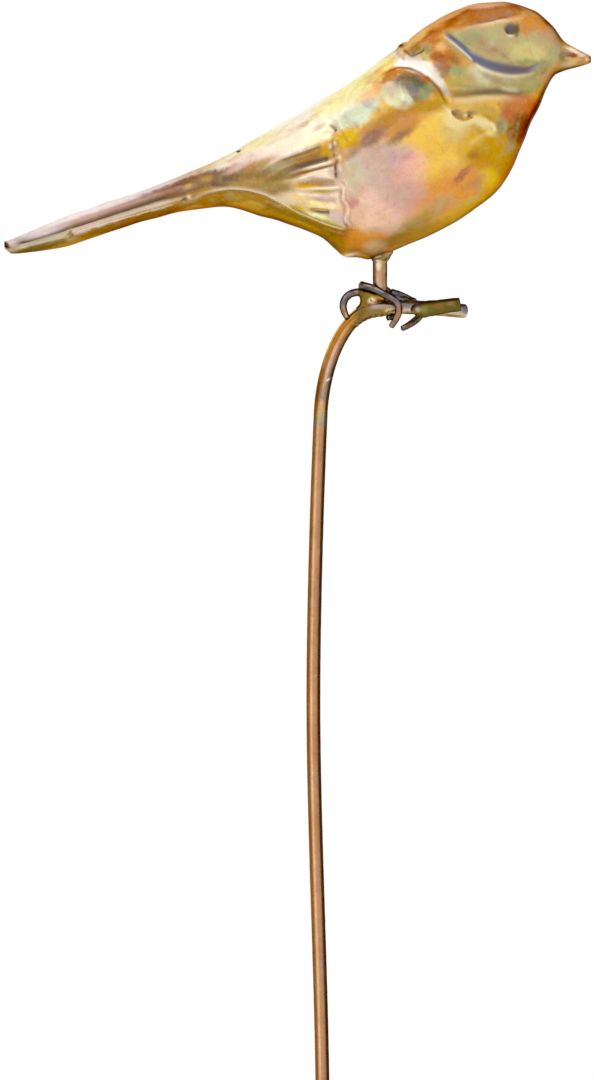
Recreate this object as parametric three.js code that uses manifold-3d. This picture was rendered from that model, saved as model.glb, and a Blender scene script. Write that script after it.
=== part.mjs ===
// Bird garden stake: a hollow songbird pressed from two copper half shells, brazed on one leg to the bent
// top of a copper-plated steel rod. Millimetres, +Z up, +X the way the bird faces, -Y the bird's right side.
// The origin is the centre of the rod's flat-cut lower end.
import * as THREE from "three";
import { mergeVertices } from "three/addons/utils/BufferGeometryUtils.js";
import Module from "manifold-3d";

const wasm = await Module();
wasm.setup();

// Stake rod
const ROD_DIAMETER = 4.76;
const PERCH_HEIGHT = 507; // lower end to the axis of the perch, under the leg
const STRAIGHT_LENGTH = 240; // plumb run above the lower end
const BOW_DEPTH = 3.1; // how far the rod bows back
const BOW_HEIGHT = 373; // where it bows most
const BEND_SETBACK = 0.85; // start of the bend, behind the lower end's axis
const BEND_RISE = 42; // the bend is a quarter ellipse: its height
const BEND_REACH = 20.4; // and its length along the perch
const PERCH_LENGTH = 29.5; // leg axis to the end of the perch
const PERCH_LEVEL = 13; // run beyond the leg before the perch droops
const PERCH_DROOP = 1.6;

// Twig stub, a short tapered rod brazed beside the perch
const TWIG_LENGTH = 13.2;
const TWIG_BUTT_DIAMETER = 4.8;
const TWIG_TIP_DIAMETER = 2.8;
const TWIG_SETOUT = 14; // leg axis to the butt of the twig
const TWIG_DROP = 0.8; // perch axis down to the centre of the butt
const TWIG_TILT = 9; // degrees

// Leg and toes
const LEG_DIAMETER = 4.9;
const LEG_LENGTH = 14.6; // top of the perch to the belly
const LEG_INSERT = 12; // run of the leg inside the body
const TOE_DIAMETER = 2.2;
const TOE_DROP = 7.2; // perch axis down to the tips of the front toes
const TOE_SPREAD = 6.8; // leg axis to the knuckle of an outer front toe
const MIDDLE_TOE_REACH = 13.6; // leg axis to the knuckle of the middle toe
const HIND_TOE_REACH = 12.9; // leg axis to the back of the hind toe's loop
const BRAZE_THICKNESS = 2.6; // how far the braze builds up around the leg

// Bird, measured from the point where the leg's axis meets the belly
const SHEET = 0.6; // copper sheet of the half shells
const TAIL_LENGTH = 76; // rump to tail tip
const REAR_LENGTH = 51.7; // belly seat to rump
const FRONT_LENGTH = 62.2; // belly seat to the root of the beak
const BEAK_LENGTH = 9.5;
const BIRD_HEIGHT = 86.2; // belly seat to crown
const BODY_WIDTH = 53;
const HEAD_WIDTH = 38;
const TAIL_WIDTH = 19;
const BEAK_WIDTH = 9; // at its root
const SEAM_GAP = 0.3; // the half shells meet at the seam, with this gap
const WING_RISE = 1.4; // how far the pressed wing stands out
const SHOULDER_RADIUS = 12.2;
const SEAM_BEAD_DIAMETER = 1.8; // solder along the inside of the seam

// Fits and facets
const CLEARANCE = 0.3;
const ROD_SIDES = 12;
const TOE_SIDES = 8;
const STAKE_STEPS = 96;
const TOE_STEPS = 16;
const BIRD_STATIONS = 54;
const BIRD_SIDES = 32;
const BEAD_STEPS = 20;

const rodRadius = ROD_DIAMETER / 2;
const legRadius = LEG_DIAMETER / 2;
const toeRadius = TOE_DIAMETER / 2;
const legX = BEND_REACH - BEND_SETBACK;

const copper = new THREE.MeshStandardMaterial({ color: 0xd99a45, roughness: 0.32, metalness: 1 });
const platedRod = new THREE.MeshStandardMaterial({ color: 0xb9754a, roughness: 0.38, metalness: 1 });
const darkWire = new THREE.MeshStandardMaterial({ color: 0x6b6070, roughness: 0.42, metalness: 1 });
const braze = new THREE.MeshStandardMaterial({ color: 0xb98a3c, roughness: 0.36, metalness: 1 });
const solder = new THREE.MeshStandardMaterial({ color: 0xa9a49a, roughness: 0.4, metalness: 1 });

const vec = (x, y, z) => new THREE.Vector3(x, y, z);

// Joining and cutting: closed geometry to a solid, and back
function solidOf(geometry) {
  const bare = geometry.index ? geometry.toNonIndexed() : geometry.clone();
  bare.deleteAttribute("normal");
  bare.deleteAttribute("uv");
  const merged = mergeVertices(bare, 1e-4);
  const vertProperties = new Float32Array(merged.attributes.position.array);
  const triVerts = new Uint32Array(merged.index.array);
  return new wasm.Manifold(new wasm.Mesh({ numProp: 3, vertProperties, triVerts }));
}

function geometryOf(solid) {
  const mesh = solid.getMesh();
  const geometry = new THREE.BufferGeometry();
  geometry.setAttribute("position", new THREE.BufferAttribute(mesh.vertProperties, 3));
  geometry.setIndex(new THREE.BufferAttribute(mesh.triVerts, 1));
  return geometry;
}

// The main lump of a solid, without the slivers that a cut can leave
function mainLump(solid) {
  return solid.decompose().reduce((a, b) => (a.volume() > b.volume() ? a : b));
}

function named(name, geometry, material) {
  const mesh = new THREE.Mesh(geometry, material);
  mesh.name = name;
  return mesh;
}

// A round bar along a curve
function bar(curve, radius, sides, steps) {
  const corner = (_, i) => {
    const turn = (2 * Math.PI * i) / sides;
    return new THREE.Vector2(radius * Math.cos(turn), radius * Math.sin(turn));
  };
  const section = new THREE.Shape(Array.from({ length: sides }, corner));
  return new THREE.ExtrudeGeometry(section, { steps, extrudePath: curve });
}

// A straight upright bar between two heights
function post(radius, low, high) {
  return bar(new THREE.LineCurve3(vec(0, 0, low), vec(0, 0, high)), radius, ROD_SIDES, 1);
}

// A smooth line through [x, value] points, as a function of x
function smoothLine(points) {
  const slope = points.map((_, i) => {
    const [x0, v0] = points[Math.max(i - 1, 0)];
    const [x1, v1] = points[Math.min(i + 1, points.length - 1)];
    return (v1 - v0) / (x1 - x0);
  });
  return (x) => {
    let i = 0;
    while (i < points.length - 2 && x > points[i + 1][0]) i += 1;
    const [x0, v0] = points[i];
    const [x1, v1] = points[i + 1];
    const run = x1 - x0;
    const t = Math.min(Math.max((x - x0) / run, 0), 1);
    const ease = t * t * (3 - 2 * t);
    const leave = t * (1 - t) * (1 - t) * slope[i] * run;
    const arrive = t * t * (1 - t) * slope[i + 1] * run;
    return v0 + (v1 - v0) * ease + leave - arrive;
  };
}

// Stake rod: plumb, bowed, bent over a quarter ellipse, then level as a perch that droops at its end
function stakeCurve() {
  const bendFoot = PERCH_HEIGHT - BEND_RISE;
  const points = [
    vec(0, 0, 0),
    vec(0, 0, STRAIGHT_LENGTH / 2),
    vec(0, 0, STRAIGHT_LENGTH),
    vec(-BOW_DEPTH, 0, BOW_HEIGHT),
  ];
  const bendPoints = 6;
  for (let i = 0; i <= bendPoints; i += 1) {
    const turn = (Math.PI / 2) * (i / bendPoints);
    points.push(vec(legX - BEND_REACH * Math.cos(turn), 0, bendFoot + BEND_RISE * Math.sin(turn)));
  }
  points.push(vec(legX + PERCH_LEVEL, 0, PERCH_HEIGHT));
  points.push(vec(legX + PERCH_LENGTH, 0, PERCH_HEIGHT - PERCH_DROOP));
  return new THREE.CatmullRomCurve3(points);
}

// Toes, from the foot of the leg: each lies against the leg and hooks over the perch
const wrap = rodRadius + toeRadius + CLEARANCE; // perch axis to a toe's axis
const standOff = legRadius + toeRadius + CLEARANCE; // leg axis to a toe's axis
const footTop = wrap + 1.6;

const toeRoutes = {
  right_front_toe: [
    [-standOff - 1.8, -0.4 * standOff, footTop + 1.7],
    [0, -standOff - 0.1, footTop],
    [TOE_SPREAD - 1.6, -wrap - 0.1, wrap - 1.3],
    [TOE_SPREAD, -wrap - 0.1, -0.2 * wrap],
    [TOE_SPREAD - 1.1, -wrap, -0.6 * TOE_DROP],
    [TOE_SPREAD - 3, -0.8 * wrap, -TOE_DROP],
  ],
  middle_front_toe: [
    [standOff + 0.1, 0.1, footTop + 0.3],
    [MIDDLE_TOE_REACH - 5.1, 0.6, wrap + 0.2],
    [MIDDLE_TOE_REACH - 1.5, 0.75 * wrap, 0.75 * wrap],
    [MIDDLE_TOE_REACH, wrap + 0.2, 0],
    [MIDDLE_TOE_REACH - 0.9, 0.95 * wrap, -0.45 * TOE_DROP],
    [MIDDLE_TOE_REACH - 3.4, 0.6 * wrap, -0.8 * TOE_DROP],
    [MIDDLE_TOE_REACH - 5.8, 0.3 * wrap, -TOE_DROP],
  ],
  left_front_toe: [
    [0.4 * standOff, standOff, footTop],
    [TOE_SPREAD - 1.8, wrap + 0.2, 0.7 * wrap],
    [TOE_SPREAD - 0.2, wrap + 0.2, -0.2 * wrap],
    [TOE_SPREAD - 1.4, 0.85 * wrap, -0.85 * wrap],
    [TOE_SPREAD - 4, 0.2 * wrap, -1.12 * wrap],
  ],
  hind_toe: [
    [-standOff - 0.1, 0.2, footTop - 0.4],
    [-HIND_TOE_REACH + 3.6, 0, footTop + 0.2],
    [-HIND_TOE_REACH + 0.7, 0, footTop - 2.6],
    [-HIND_TOE_REACH, 0, footTop - 5.6],
    [-HIND_TOE_REACH + 1, 0, footTop - 8.4],
  ],
};

const toeCurve = (route) => new THREE.CatmullRomCurve3(route.map((p) => vec(...p)));
const toeBar = (route, radius) => bar(toeCurve(route), radius, TOE_SIDES, TOE_STEPS);

// Twig stub: a turned taper laid along the right side of the perch
function twigGeometry(extra) {
  const profile = [
    new THREE.Vector2(0, -extra),
    new THREE.Vector2(TWIG_BUTT_DIAMETER / 2 + extra, -extra),
    new THREE.Vector2(TWIG_TIP_DIAMETER / 2 + extra, TWIG_LENGTH + extra),
    new THREE.Vector2(0, TWIG_LENGTH + extra),
  ];
  const turned = new THREE.LatheGeometry(profile, ROD_SIDES);
  turned.rotateZ(-Math.PI / 2);
  turned.rotateY(-THREE.MathUtils.degToRad(TWIG_TILT));
  turned.translate(TWIG_SETOUT, -rodRadius - TWIG_BUTT_DIAMETER / 2 - CLEARANCE, -TWIG_DROP);
  return turned;
}

// The bird's outline and width, from tail tip to beak tip: [x, back, belly, half width, roundness]
const tailAt = (share) => -REAR_LENGTH - share * TAIL_LENGTH;
const rearAt = (share) => -share * REAR_LENGTH;
const frontAt = (share) => share * FRONT_LENGTH;
const beakAt = (share) => FRONT_LENGTH + share * BEAK_LENGTH;
const body = BODY_WIDTH / 2;
const head = HEAD_WIDTH / 2;
const tail = TAIL_WIDTH / 2;
const beak = BEAK_WIDTH / 2;
const crown = (below) => BIRD_HEIGHT - below;

const stations = [
  [tailAt(1), 5, 2.3, tail - 3.5, 1.3],
  [tailAt(0.965), 5.6, 0.55, tail - 2.4, 1.3],
  [tailAt(0.75), 12.9, 2.5, tail - 1.2, 1.3],
  [tailAt(0.375), 22.3, 11.3, tail, 1.4],
  [tailAt(0.16), 28.8, 15.5, tail + 1, 1.5],
  [rearAt(1), 34.4, 16.1, tail + 2.6, 1.7],
  [rearAt(0.76), 41.7, 13.1, body - 10.5, 1.85],
  [rearAt(0.53), 48.8, 9.1, body - 6, 2],
  [rearAt(0.29), 55.6, 2.2, body - 2.8, 2.05],
  [rearAt(0.18), 59, -0.7, body - 1.5, 2.1],
  [rearAt(0), 66.1, 0, body - 0.4, 2.15],
  [frontAt(0.15), crown(13.6), 3.7, body, 2.15],
  [frontAt(0.33), crown(5.25), 8.5, body - 0.4, 2.15],
  [frontAt(0.5), crown(1), 15.05, body - 2, 2.15],
  [frontAt(0.655), crown(0), 23.05, head + 2.6, 2.15],
  [frontAt(0.745), crown(0.75), 32.8, head - 0.2, 2.1],
  [frontAt(0.81), crown(2.2), 43.4, head - 2, 2.05],
  [frontAt(0.875), crown(4.1), 52, head - 4.2, 2],
  [frontAt(0.94), crown(8), 59.85, head - 8, 1.9],
  [beakAt(0), crown(12.3), 62.3, beak, 1.8],
  [beakAt(0.46), crown(15.7), 63.8, beak - 1.6, 1.8],
  [beakAt(0.9), crown(17.95), 65.2, beak - 3, 1.8],
  [beakAt(1), crown(18.6), 65.7, beak - 3.8, 1.8],
];

const column = (index) => smoothLine(stations.map((row) => [row[0], row[index]]));
const backLine = column(1);
const bellyLine = column(2);
const halfWidth = column(3);
const roundness = column(4);
const tailTip = tailAt(1);
const beakTip = beakAt(1);

// Stations spaced evenly along the outline, so that steep stretches get as many as flat ones
function evenStations(count) {
  const fine = 600;
  const at = (i) => tailTip + ((beakTip - tailTip) * i) / fine;
  const length = [0];
  for (let i = 1; i <= fine; i += 1) {
    const run = at(i) - at(i - 1);
    const back = Math.hypot(run, backLine(at(i)) - backLine(at(i - 1)));
    const belly = Math.hypot(run, bellyLine(at(i)) - bellyLine(at(i - 1)));
    length.push(length[i - 1] + back + belly);
  }
  const places = [];
  let i = 0;
  for (let k = 0; k <= count; k += 1) {
    while (i < fine && length[i] < (length[fine] * k) / count) i += 1;
    places.push(at(i));
  }
  return places;
}

const softStep = (t) => {
  const s = Math.min(Math.max(t, 0), 1);
  return s * s * (3 - 2 * s);
};

// How far a point (x, z) lies from the line between two ends, and where along it
function alongLine(x, z, [x0, z0], [x1, z1]) {
  const run = [x1 - x0, z1 - z0];
  const share = ((x - x0) * run[0] + (z - z0) * run[1]) / (run[0] ** 2 + run[1] ** 2);
  const s = Math.min(Math.max(share, 0), 1);
  return { s, distance: Math.hypot(x - x0 - s * run[0], z - z0 - s * run[1]) };
}

// The pressed relief: the folded wing stands out, and a groove sets the head off from the breast
const shoulder = [10.2, 51];
const wingTip = [-46, 25.7];
const wingTipRadius = 5;
const wingEdge = 4; // width of the soft step round the wing
const nape = [7, 66.7];
const throat = [52, 54.2];
const grooveDepth = 1.1;
const grooveWidth = 3.2;

function relief(x, z) {
  const wing = alongLine(x, z, shoulder, wingTip);
  const reach = SHOULDER_RADIUS + (wingTipRadius - SHOULDER_RADIUS) * wing.s;
  const raised = WING_RISE * softStep((reach - wing.distance) / wingEdge + 0.5);
  const groove = alongLine(x, z, nape, throat).distance / grooveWidth;
  return raised - grooveDepth * Math.exp(-groove * groove);
}

// One ring of the bird's skin at x, inset by a sheet thickness or swelled by a clearance
function ringAt(x, inset) {
  const step = 0.5;
  const lean = (line) => Math.hypot(1, (line(x + step) - line(x - step)) / (2 * step));
  const top = backLine(x) - inset * lean(backLine);
  const bottom = bellyLine(x) + inset * lean(bellyLine);
  const half = halfWidth(x) - inset * lean(halfWidth);
  const middle = (top + bottom) / 2;
  const tall = (top - bottom) / 2;
  const power = 2 / roundness(x);
  const ring = [];
  for (let k = 0; k < BIRD_SIDES; k += 1) {
    const turn = (2 * Math.PI * k) / BIRD_SIDES;
    const out = Math.sin(turn);
    const up = Math.cos(turn);
    const z = middle + tall * Math.sign(up) * Math.abs(up) ** power;
    const bulge = half * Math.abs(out) ** power;
    const y = Math.sign(out) * (bulge + relief(x, z) * Math.abs(out));
    ring.push(vec(x, Math.abs(out) < 1e-9 ? 0 : y, z));
  }
  return ring;
}

// A closed skin over a row of rings
function skin(rings) {
  const sides = rings[0].length;
  const corners = rings.flat();
  const faces = [];
  for (let i = 0; i + 1 < rings.length; i += 1) {
    for (let k = 0; k < sides; k += 1) {
      const a = i * sides + k;
      const b = i * sides + ((k + 1) % sides);
      faces.push(a, a + sides, b, b, a + sides, b + sides);
    }
  }
  const capAt = (start, flip) => {
    const centre = corners.length;
    const middle = corners.slice(start, start + sides).reduce((sum, p) => sum.add(p), vec(0, 0, 0));
    corners.push(middle.divideScalar(sides));
    for (let k = 0; k < sides; k += 1) {
      const pair = [start + k, start + ((k + 1) % sides)];
      faces.push(centre, ...(flip ? pair.reverse() : pair));
    }
  };
  capAt(0, false);
  capAt((rings.length - 1) * sides, true);
  const geometry = new THREE.BufferGeometry();
  geometry.setFromPoints(corners);
  geometry.setIndex(faces);
  return geometry;
}

const places = evenStations(BIRD_STATIONS);
const outside = (swell) => solidOf(skin(places.map((x) => ringAt(x, -swell))));

// The hollow runs from the tail's root end to the cheeks: the tail's end and the beak are folded solid
const hollowFrom = tailAt(0.85);
const hollowTo = frontAt(0.92);
const inside = solidOf(
  skin(places.filter((x) => x > hollowFrom && x < hollowTo).map((x) => ringAt(x, SHEET))),
);

// A half space on one side of the seam, from the seam out
function halfSpace(side) {
  const wide = BODY_WIDTH * 2;
  const long = (beakTip - tailTip) * 2;
  const box = new THREE.BoxGeometry(long, wide, BIRD_HEIGHT * 4);
  box.translate(0, side * (wide / 2 + SEAM_GAP / 2), 0);
  return solidOf(box);
}

const legTop = LEG_LENGTH + LEG_INSERT;
const legHole = solidOf(post(legRadius + CLEARANCE, -LEG_LENGTH, LEG_INSERT + CLEARANCE));
const bothShells = outside(0).subtract(inside).subtract(legHole);
const shell = (side) => geometryOf(mainLump(bothShells.intersect(halfSpace(side))));

// Solder along the inside of the seam, on the back and down the breast
function seamBead(line, inward, from, to) {
  const beadRadius = SEAM_BEAD_DIAMETER / 2;
  const beadPoints = 14;
  const depth = inward * (SHEET + CLEARANCE + beadRadius);
  const points = [];
  for (let i = 0; i <= beadPoints; i += 1) {
    const x = from + ((to - from) * i) / beadPoints;
    const slope = line(x + 0.5) - line(x - 0.5);
    const lean = Math.hypot(1, slope);
    points.push(vec(x - (depth * slope) / lean, 0, line(x) + depth / lean));
  }
  return bar(new THREE.CatmullRomCurve3(points), beadRadius, TOE_SIDES, BEAD_STEPS);
}

// Braze: a lump that is cut clear of the pieces it joins
function brazeLump(reach, centre, neighbours) {
  const lump = new THREE.SphereGeometry(1, 18, 12);
  lump.scale(...reach);
  lump.translate(...centre);
  return geometryOf(mainLump(neighbours.reduce((left, piece) => left.subtract(piece), solidOf(lump))));
}

const stake = stakeCurve();
const perchSpace = solidOf(
  bar(stake, rodRadius + CLEARANCE, ROD_SIDES, STAKE_STEPS).translate(-legX, 0, -PERCH_HEIGHT),
);
const legSpace = solidOf(post(legRadius + CLEARANCE, 0, legTop));
const toeSpaces = Object.values(toeRoutes).map((route) => solidOf(toeBar(route, toeRadius + CLEARANCE)));

const footBraze = brazeLump(
  [legRadius + BRAZE_THICKNESS + 0.6, legRadius + 0.6 * BRAZE_THICKNESS, footTop],
  [-0.4 * legRadius, 0, rodRadius],
  [perchSpace, legSpace, ...toeSpaces],
);
const bellyBraze = brazeLump(
  [legRadius + BRAZE_THICKNESS, legRadius + 0.7 * BRAZE_THICKNESS, legRadius + 0.5 * BRAZE_THICKNESS],
  [0.3 * legRadius, 0, 0],
  [outside(CLEARANCE), legHole],
);
const twigBraze = brazeLump(
  [0.3 * TWIG_LENGTH, 0.8 * rodRadius, 0.9 * rodRadius],
  [TWIG_SETOUT + 0.35 * TWIG_LENGTH, -rodRadius - CLEARANCE / 2, 0],
  [perchSpace, solidOf(twigGeometry(CLEARANCE))],
);

// The assembly: the stake, the foot on its perch, and the bird on the leg
const foot = new THREE.Group();
foot.position.set(legX, 0, PERCH_HEIGHT);
for (const [name, route] of Object.entries(toeRoutes)) {
  foot.add(named(name, toeBar(route, toeRadius), darkWire));
}
foot.add(named("leg_rod", post(legRadius, rodRadius + CLEARANCE, rodRadius + legTop), platedRod));
foot.add(named("foot_braze", footBraze, braze));
foot.add(named("twig_stub", twigGeometry(0), platedRod));
foot.add(named("twig_braze", twigBraze, braze));

const bird = new THREE.Group();
bird.position.set(legX, 0, PERCH_HEIGHT + rodRadius + LEG_LENGTH);
bird.add(named("right_half_shell", shell(-1), copper));
bird.add(named("left_half_shell", shell(1), copper));
bird.add(named("belly_braze", bellyBraze, braze));
bird.add(named("back_seam_solder", seamBead(backLine, -1, rearAt(0.6), frontAt(0.6)), solder));
bird.add(named("breast_seam_solder", seamBead(bellyLine, 1, frontAt(0.12), frontAt(0.55)), solder));

const gardenStake = new THREE.Group();
gardenStake.add(named("stake_rod", bar(stake, rodRadius, ROD_SIDES, STAKE_STEPS), platedRod));
gardenStake.add(foot);
gardenStake.add(bird);

export default gardenStake;
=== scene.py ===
# %% [markdown]
# # A bird garden stake in flame-tinted copper
# The real object is a songbird pressed in two halves from thin copper sheet, coloured with a torch, and
# brazed by one leg and four wire toes to the bent top of a copper-plated rod. The solids are already
# packed as a frame; this lesson dresses them. Every piece is made in the frame's own place, in metres.

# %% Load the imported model
import math

import bmesh
import bpy
import numpy as np
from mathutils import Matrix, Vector


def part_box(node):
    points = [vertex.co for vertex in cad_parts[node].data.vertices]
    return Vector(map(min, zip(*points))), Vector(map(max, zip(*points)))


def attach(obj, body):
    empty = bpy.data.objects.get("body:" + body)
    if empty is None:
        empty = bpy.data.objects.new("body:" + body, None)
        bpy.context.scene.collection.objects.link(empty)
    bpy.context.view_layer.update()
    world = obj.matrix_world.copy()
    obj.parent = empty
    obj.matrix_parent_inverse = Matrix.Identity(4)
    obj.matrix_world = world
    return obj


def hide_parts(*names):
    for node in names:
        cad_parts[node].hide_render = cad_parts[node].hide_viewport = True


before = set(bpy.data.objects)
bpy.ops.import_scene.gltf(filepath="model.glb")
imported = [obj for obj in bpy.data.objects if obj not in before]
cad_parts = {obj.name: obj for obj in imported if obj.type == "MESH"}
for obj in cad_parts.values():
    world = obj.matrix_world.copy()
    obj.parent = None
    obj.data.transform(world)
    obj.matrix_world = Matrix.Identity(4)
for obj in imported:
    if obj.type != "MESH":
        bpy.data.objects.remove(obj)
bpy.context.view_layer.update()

# %% [markdown]
# ## One scale for everything
# The rod is the yardstick: a 4.76 mm rod is 14 pixels wide in the photograph, so a pixel is 0.34 mm.
# Places on the bird are easiest to read off the photograph, so two small helpers turn pixels into
# millimetres of the frame and back. Meshes are worked out in millimetres and scaled to metres when they
# are made.

# %% Photograph and frame
PHOTO_SIZE_PX = (594, 1080)
MM_PER_PX = 0.34
PLUMB_PX = 322.5  # the axis of the rod's lower end
CROWN_PX = 2.5  # the top of the head
CROWN_MM = 610.0
MM = 0.001


def frame_mm(px, py):
    return (px - PLUMB_PX) * MM_PER_PX, CROWN_MM - (py - CROWN_PX) * MM_PER_PX


def photo_px(x, z):
    return PLUMB_PX + x / MM_PER_PX, CROWN_PX + (CROWN_MM - z) / MM_PER_PX


leg_low, leg_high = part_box("leg_rod")
LEG_X = (leg_low.x + leg_high.x) / 2 / MM
print("leg axis at", round(LEG_X, 2), "mm, photo column", round(photo_px(LEG_X, 0)[0], 1))

# %% [markdown]
# ## The camera
# The photograph looks straight at the bird's right side from its own height, through a long lens: the rod
# keeps its width down the whole picture. So the camera stands level, well back, and needs no shift.

# %% Camera
CAMERA_DISTANCE = 12.0
VIEW_HEIGHT = PHOTO_SIZE_PX[1] * MM_PER_PX * MM
view_x, view_z = frame_mm(PHOTO_SIZE_PX[0] / 2, PHOTO_SIZE_PX[1] / 2)

camera_data = bpy.data.cameras.new("photo_camera")
camera_data.sensor_fit = "VERTICAL"
camera_data.angle = 2 * math.atan(VIEW_HEIGHT / 2 / CAMERA_DISTANCE)
camera = bpy.data.objects.new("photo_camera", camera_data)
camera.location = (view_x * MM, -CAMERA_DISTANCE, view_z * MM)
camera.rotation_euler = (math.pi / 2, 0, 0)
bpy.context.collection.objects.link(camera)
bpy.context.scene.camera = camera
bpy.context.scene.view_settings.view_transform = "Standard"
print("camera angle", round(math.degrees(camera_data.angle), 2), "degrees")

# %% [markdown]
# ## Light for shiny metal
# Metal has hardly any colour of its own: it shows what stands around it. A white world gives the white
# background and the even tone, a wide soft box overhead whitens the bird's back, and a tall strip lamp
# draws the long highlight down the rod. A gold and a dark card close beside the rod give it its two
# edges, as a photographer does with flags. The cards are seen only in reflections, and there the floor is
# nearly white too.

# %% World
FILL_STRENGTH = 0.8
world = bpy.data.worlds.new("white_studio")
world.use_nodes = True
bpy.context.scene.world = world
sky = world.node_tree
sky.nodes.clear()
ray = sky.nodes.new("ShaderNodeLightPath")
seen = ray.outputs["Is Camera Ray"]
for kind in ("Is Glossy Ray", "Is Transmission Ray"):
    either = sky.nodes.new("ShaderNodeMath")
    either.operation = "MAXIMUM"
    sky.links.new(seen, either.inputs[0])
    sky.links.new(ray.outputs[kind], either.inputs[1])
    seen = either.outputs[0]
choose = sky.nodes.new("ShaderNodeMixShader")
sky.links.new(seen, choose.inputs[0])
for socket, strength in zip(choose.inputs[1:], (FILL_STRENGTH, 1.0)):
    glow = sky.nodes.new("ShaderNodeBackground")
    glow.inputs["Color"].default_value = (1, 1, 1, 1)
    glow.inputs["Strength"].default_value = strength
    sky.links.new(glow.outputs[0], socket)
sky.links.new(choose.outputs[0], sky.nodes.new("ShaderNodeOutputWorld").inputs["Surface"])
print("world made: white where it is seen, softer as fill light")


# %% Soft boxes
def soft_box(name, place, aim, size, radiance, tall=None):
    lamp = bpy.data.lights.new(name, "AREA")
    lamp.shape = "RECTANGLE"
    lamp.size, lamp.size_y = size, tall or size
    lamp.energy = radiance * math.pi * lamp.size * lamp.size_y
    box = bpy.data.objects.new(name, lamp)
    box.location = place
    box.rotation_euler = (Vector(aim) - Vector(place)).to_track_quat("-Z", "Y").to_euler()
    bpy.context.collection.objects.link(box)
    print(name, "at", place, "with", round(lamp.energy, 1), "W")


soft_box("overhead_box", (-0.35, 0.0, 1.5), (0, 0, 0.55), 0.8, 0.25)
soft_box("left_box", (-0.62, -0.62, 1.35), (0, 0, 0.55), 0.5, 0.42)
soft_box("rod_strip", (-0.36, -0.52, 0.24), (0, 0, 0.24), 0.2, 0.45, tall=0.5)


# %% Floor and cards
FLOOR_RADIUS = 0.9
FLOOR_SIDES = 96
FLOOR_GLOW = 0.7  # how far the floor turns white in reflections
CARD_FOOT = 0.005


def plain_material(name, colour, roughness):
    material = bpy.data.materials.new(name)
    material.use_nodes = True
    shader = material.node_tree.nodes["Principled BSDF"]
    shader.inputs["Base Color"].default_value = (*colour, 1)
    shader.inputs["Roughness"].default_value = roughness
    return material


def stage_mesh(name, corners, material):
    mesh = bpy.data.meshes.new(name)
    mesh.from_pydata(corners, [], [tuple(range(len(corners)))])
    mesh.materials.append(material)
    made = bpy.data.objects.new(name, mesh)
    bpy.context.collection.objects.link(made)
    return made


def card(name, start, end, top, material):
    """An upright card over the floor from start to end, seen only in reflections."""
    corners = [(*start, CARD_FOOT), (*end, CARD_FOOT), (*end, top), (*start, top)]
    made = stage_mesh(name, corners, material)
    made.visible_camera = False
    made.visible_diffuse = False
    made.visible_shadow = False


def floor_material():
    """Pale and matt, with the shadow, to the eye; nearly as white as the background in reflections."""
    material = plain_material("pale_floor", (0.86, 0.86, 0.85), 0.8)
    nodes, links = material.node_tree.nodes, material.node_tree.links
    light_path = nodes.new("ShaderNodeLightPath")
    mirrored = nodes.new("ShaderNodeMath")
    mirrored.operation = "MULTIPLY"
    links.new(light_path.outputs["Is Glossy Ray"], mirrored.inputs[0])
    mirrored.inputs[1].default_value = FLOOR_GLOW
    glow = nodes.new("ShaderNodeEmission")
    blend = nodes.new("ShaderNodeMixShader")
    links.new(mirrored.outputs[0], blend.inputs[0])
    links.new(nodes["Principled BSDF"].outputs[0], blend.inputs[1])
    links.new(glow.outputs[0], blend.inputs[2])
    links.new(blend.outputs[0], nodes["Material Output"].inputs["Surface"])
    return material


turns = [2 * math.pi * k / FLOOR_SIDES for k in range(FLOOR_SIDES)]
rim = [(FLOOR_RADIUS * math.cos(t), FLOOR_RADIUS * math.sin(t), 0) for t in turns]
stage_mesh("floor", rim, floor_material())
card_dark = plain_material("card_dark", (0.20, 0.18, 0.11), 0.9)
card_gold = plain_material("card_gold", (0.60, 0.52, 0.12), 0.9)
card("right_card", (0.034, -0.016), (0.034, 0.034), 0.478, card_dark)
card("left_card", (-0.038, -0.0175), (-0.038, 0.034), 0.49, card_gold)
print("stage made: a floor and two cards")

# %% [markdown]
# ## Mesh helpers
# Two kinds of shape make up the whole object: bars swept along a curve, and the bird's lofted skin. The
# sweep carries a ring of points along the path without twisting it, and can round its ends.


# %% Objects from points
def piece(name, points_mm, faces, material, node, sharp=math.radians(50)):
    """A visible piece in the frame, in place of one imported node."""
    mesh = bpy.data.meshes.new(name)
    mesh.from_pydata((np.asarray(points_mm) * MM).tolist(), [], faces)
    mesh.materials.append(material)
    mesh.polygons.foreach_set("use_smooth", [True] * len(mesh.polygons))
    mesh.set_sharp_from_angle(angle=sharp)
    mesh.update()
    made = bpy.data.objects.new(name, mesh)
    bpy.context.collection.objects.link(made)
    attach(made, "root")
    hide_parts(node)
    print(name, "has", len(mesh.vertices), "points")
    return made


# %% Smooth paths
def catmull(points, per=10):
    """A centripetal Catmull-Rom curve: it passes through every point and never loops between two."""
    given = np.asarray(points, float)
    ends = np.vstack([2 * given[0] - given[1], given, 2 * given[-1] - given[-2]])
    t = np.linspace(0, 1, per, endpoint=False)[:, None]
    runs = []
    for a, b, c, d in zip(ends, ends[1:], ends[2:], ends[3:]):
        before, here, after = (max(np.linalg.norm(q) ** 0.5, 1e-6) for q in (b - a, c - b, d - c))
        leave = ((b - a) / before - (c - a) / (before + here) + (c - b) / here) * here
        arrive = ((c - b) / here - (d - b) / (here + after) + (d - c) / after) * here
        bend = (3 * (c - b) - 2 * leave - arrive) * t**2
        runs.append(b + leave * t + bend + (2 * (b - c) + leave + arrive) * t**3)
    return np.vstack([*runs, given[-1:]])


def run_along(points):
    """The length of the path up to each of its points."""
    return np.concatenate([[0], np.cumsum(np.linalg.norm(np.diff(points, axis=0), axis=1))])


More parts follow.
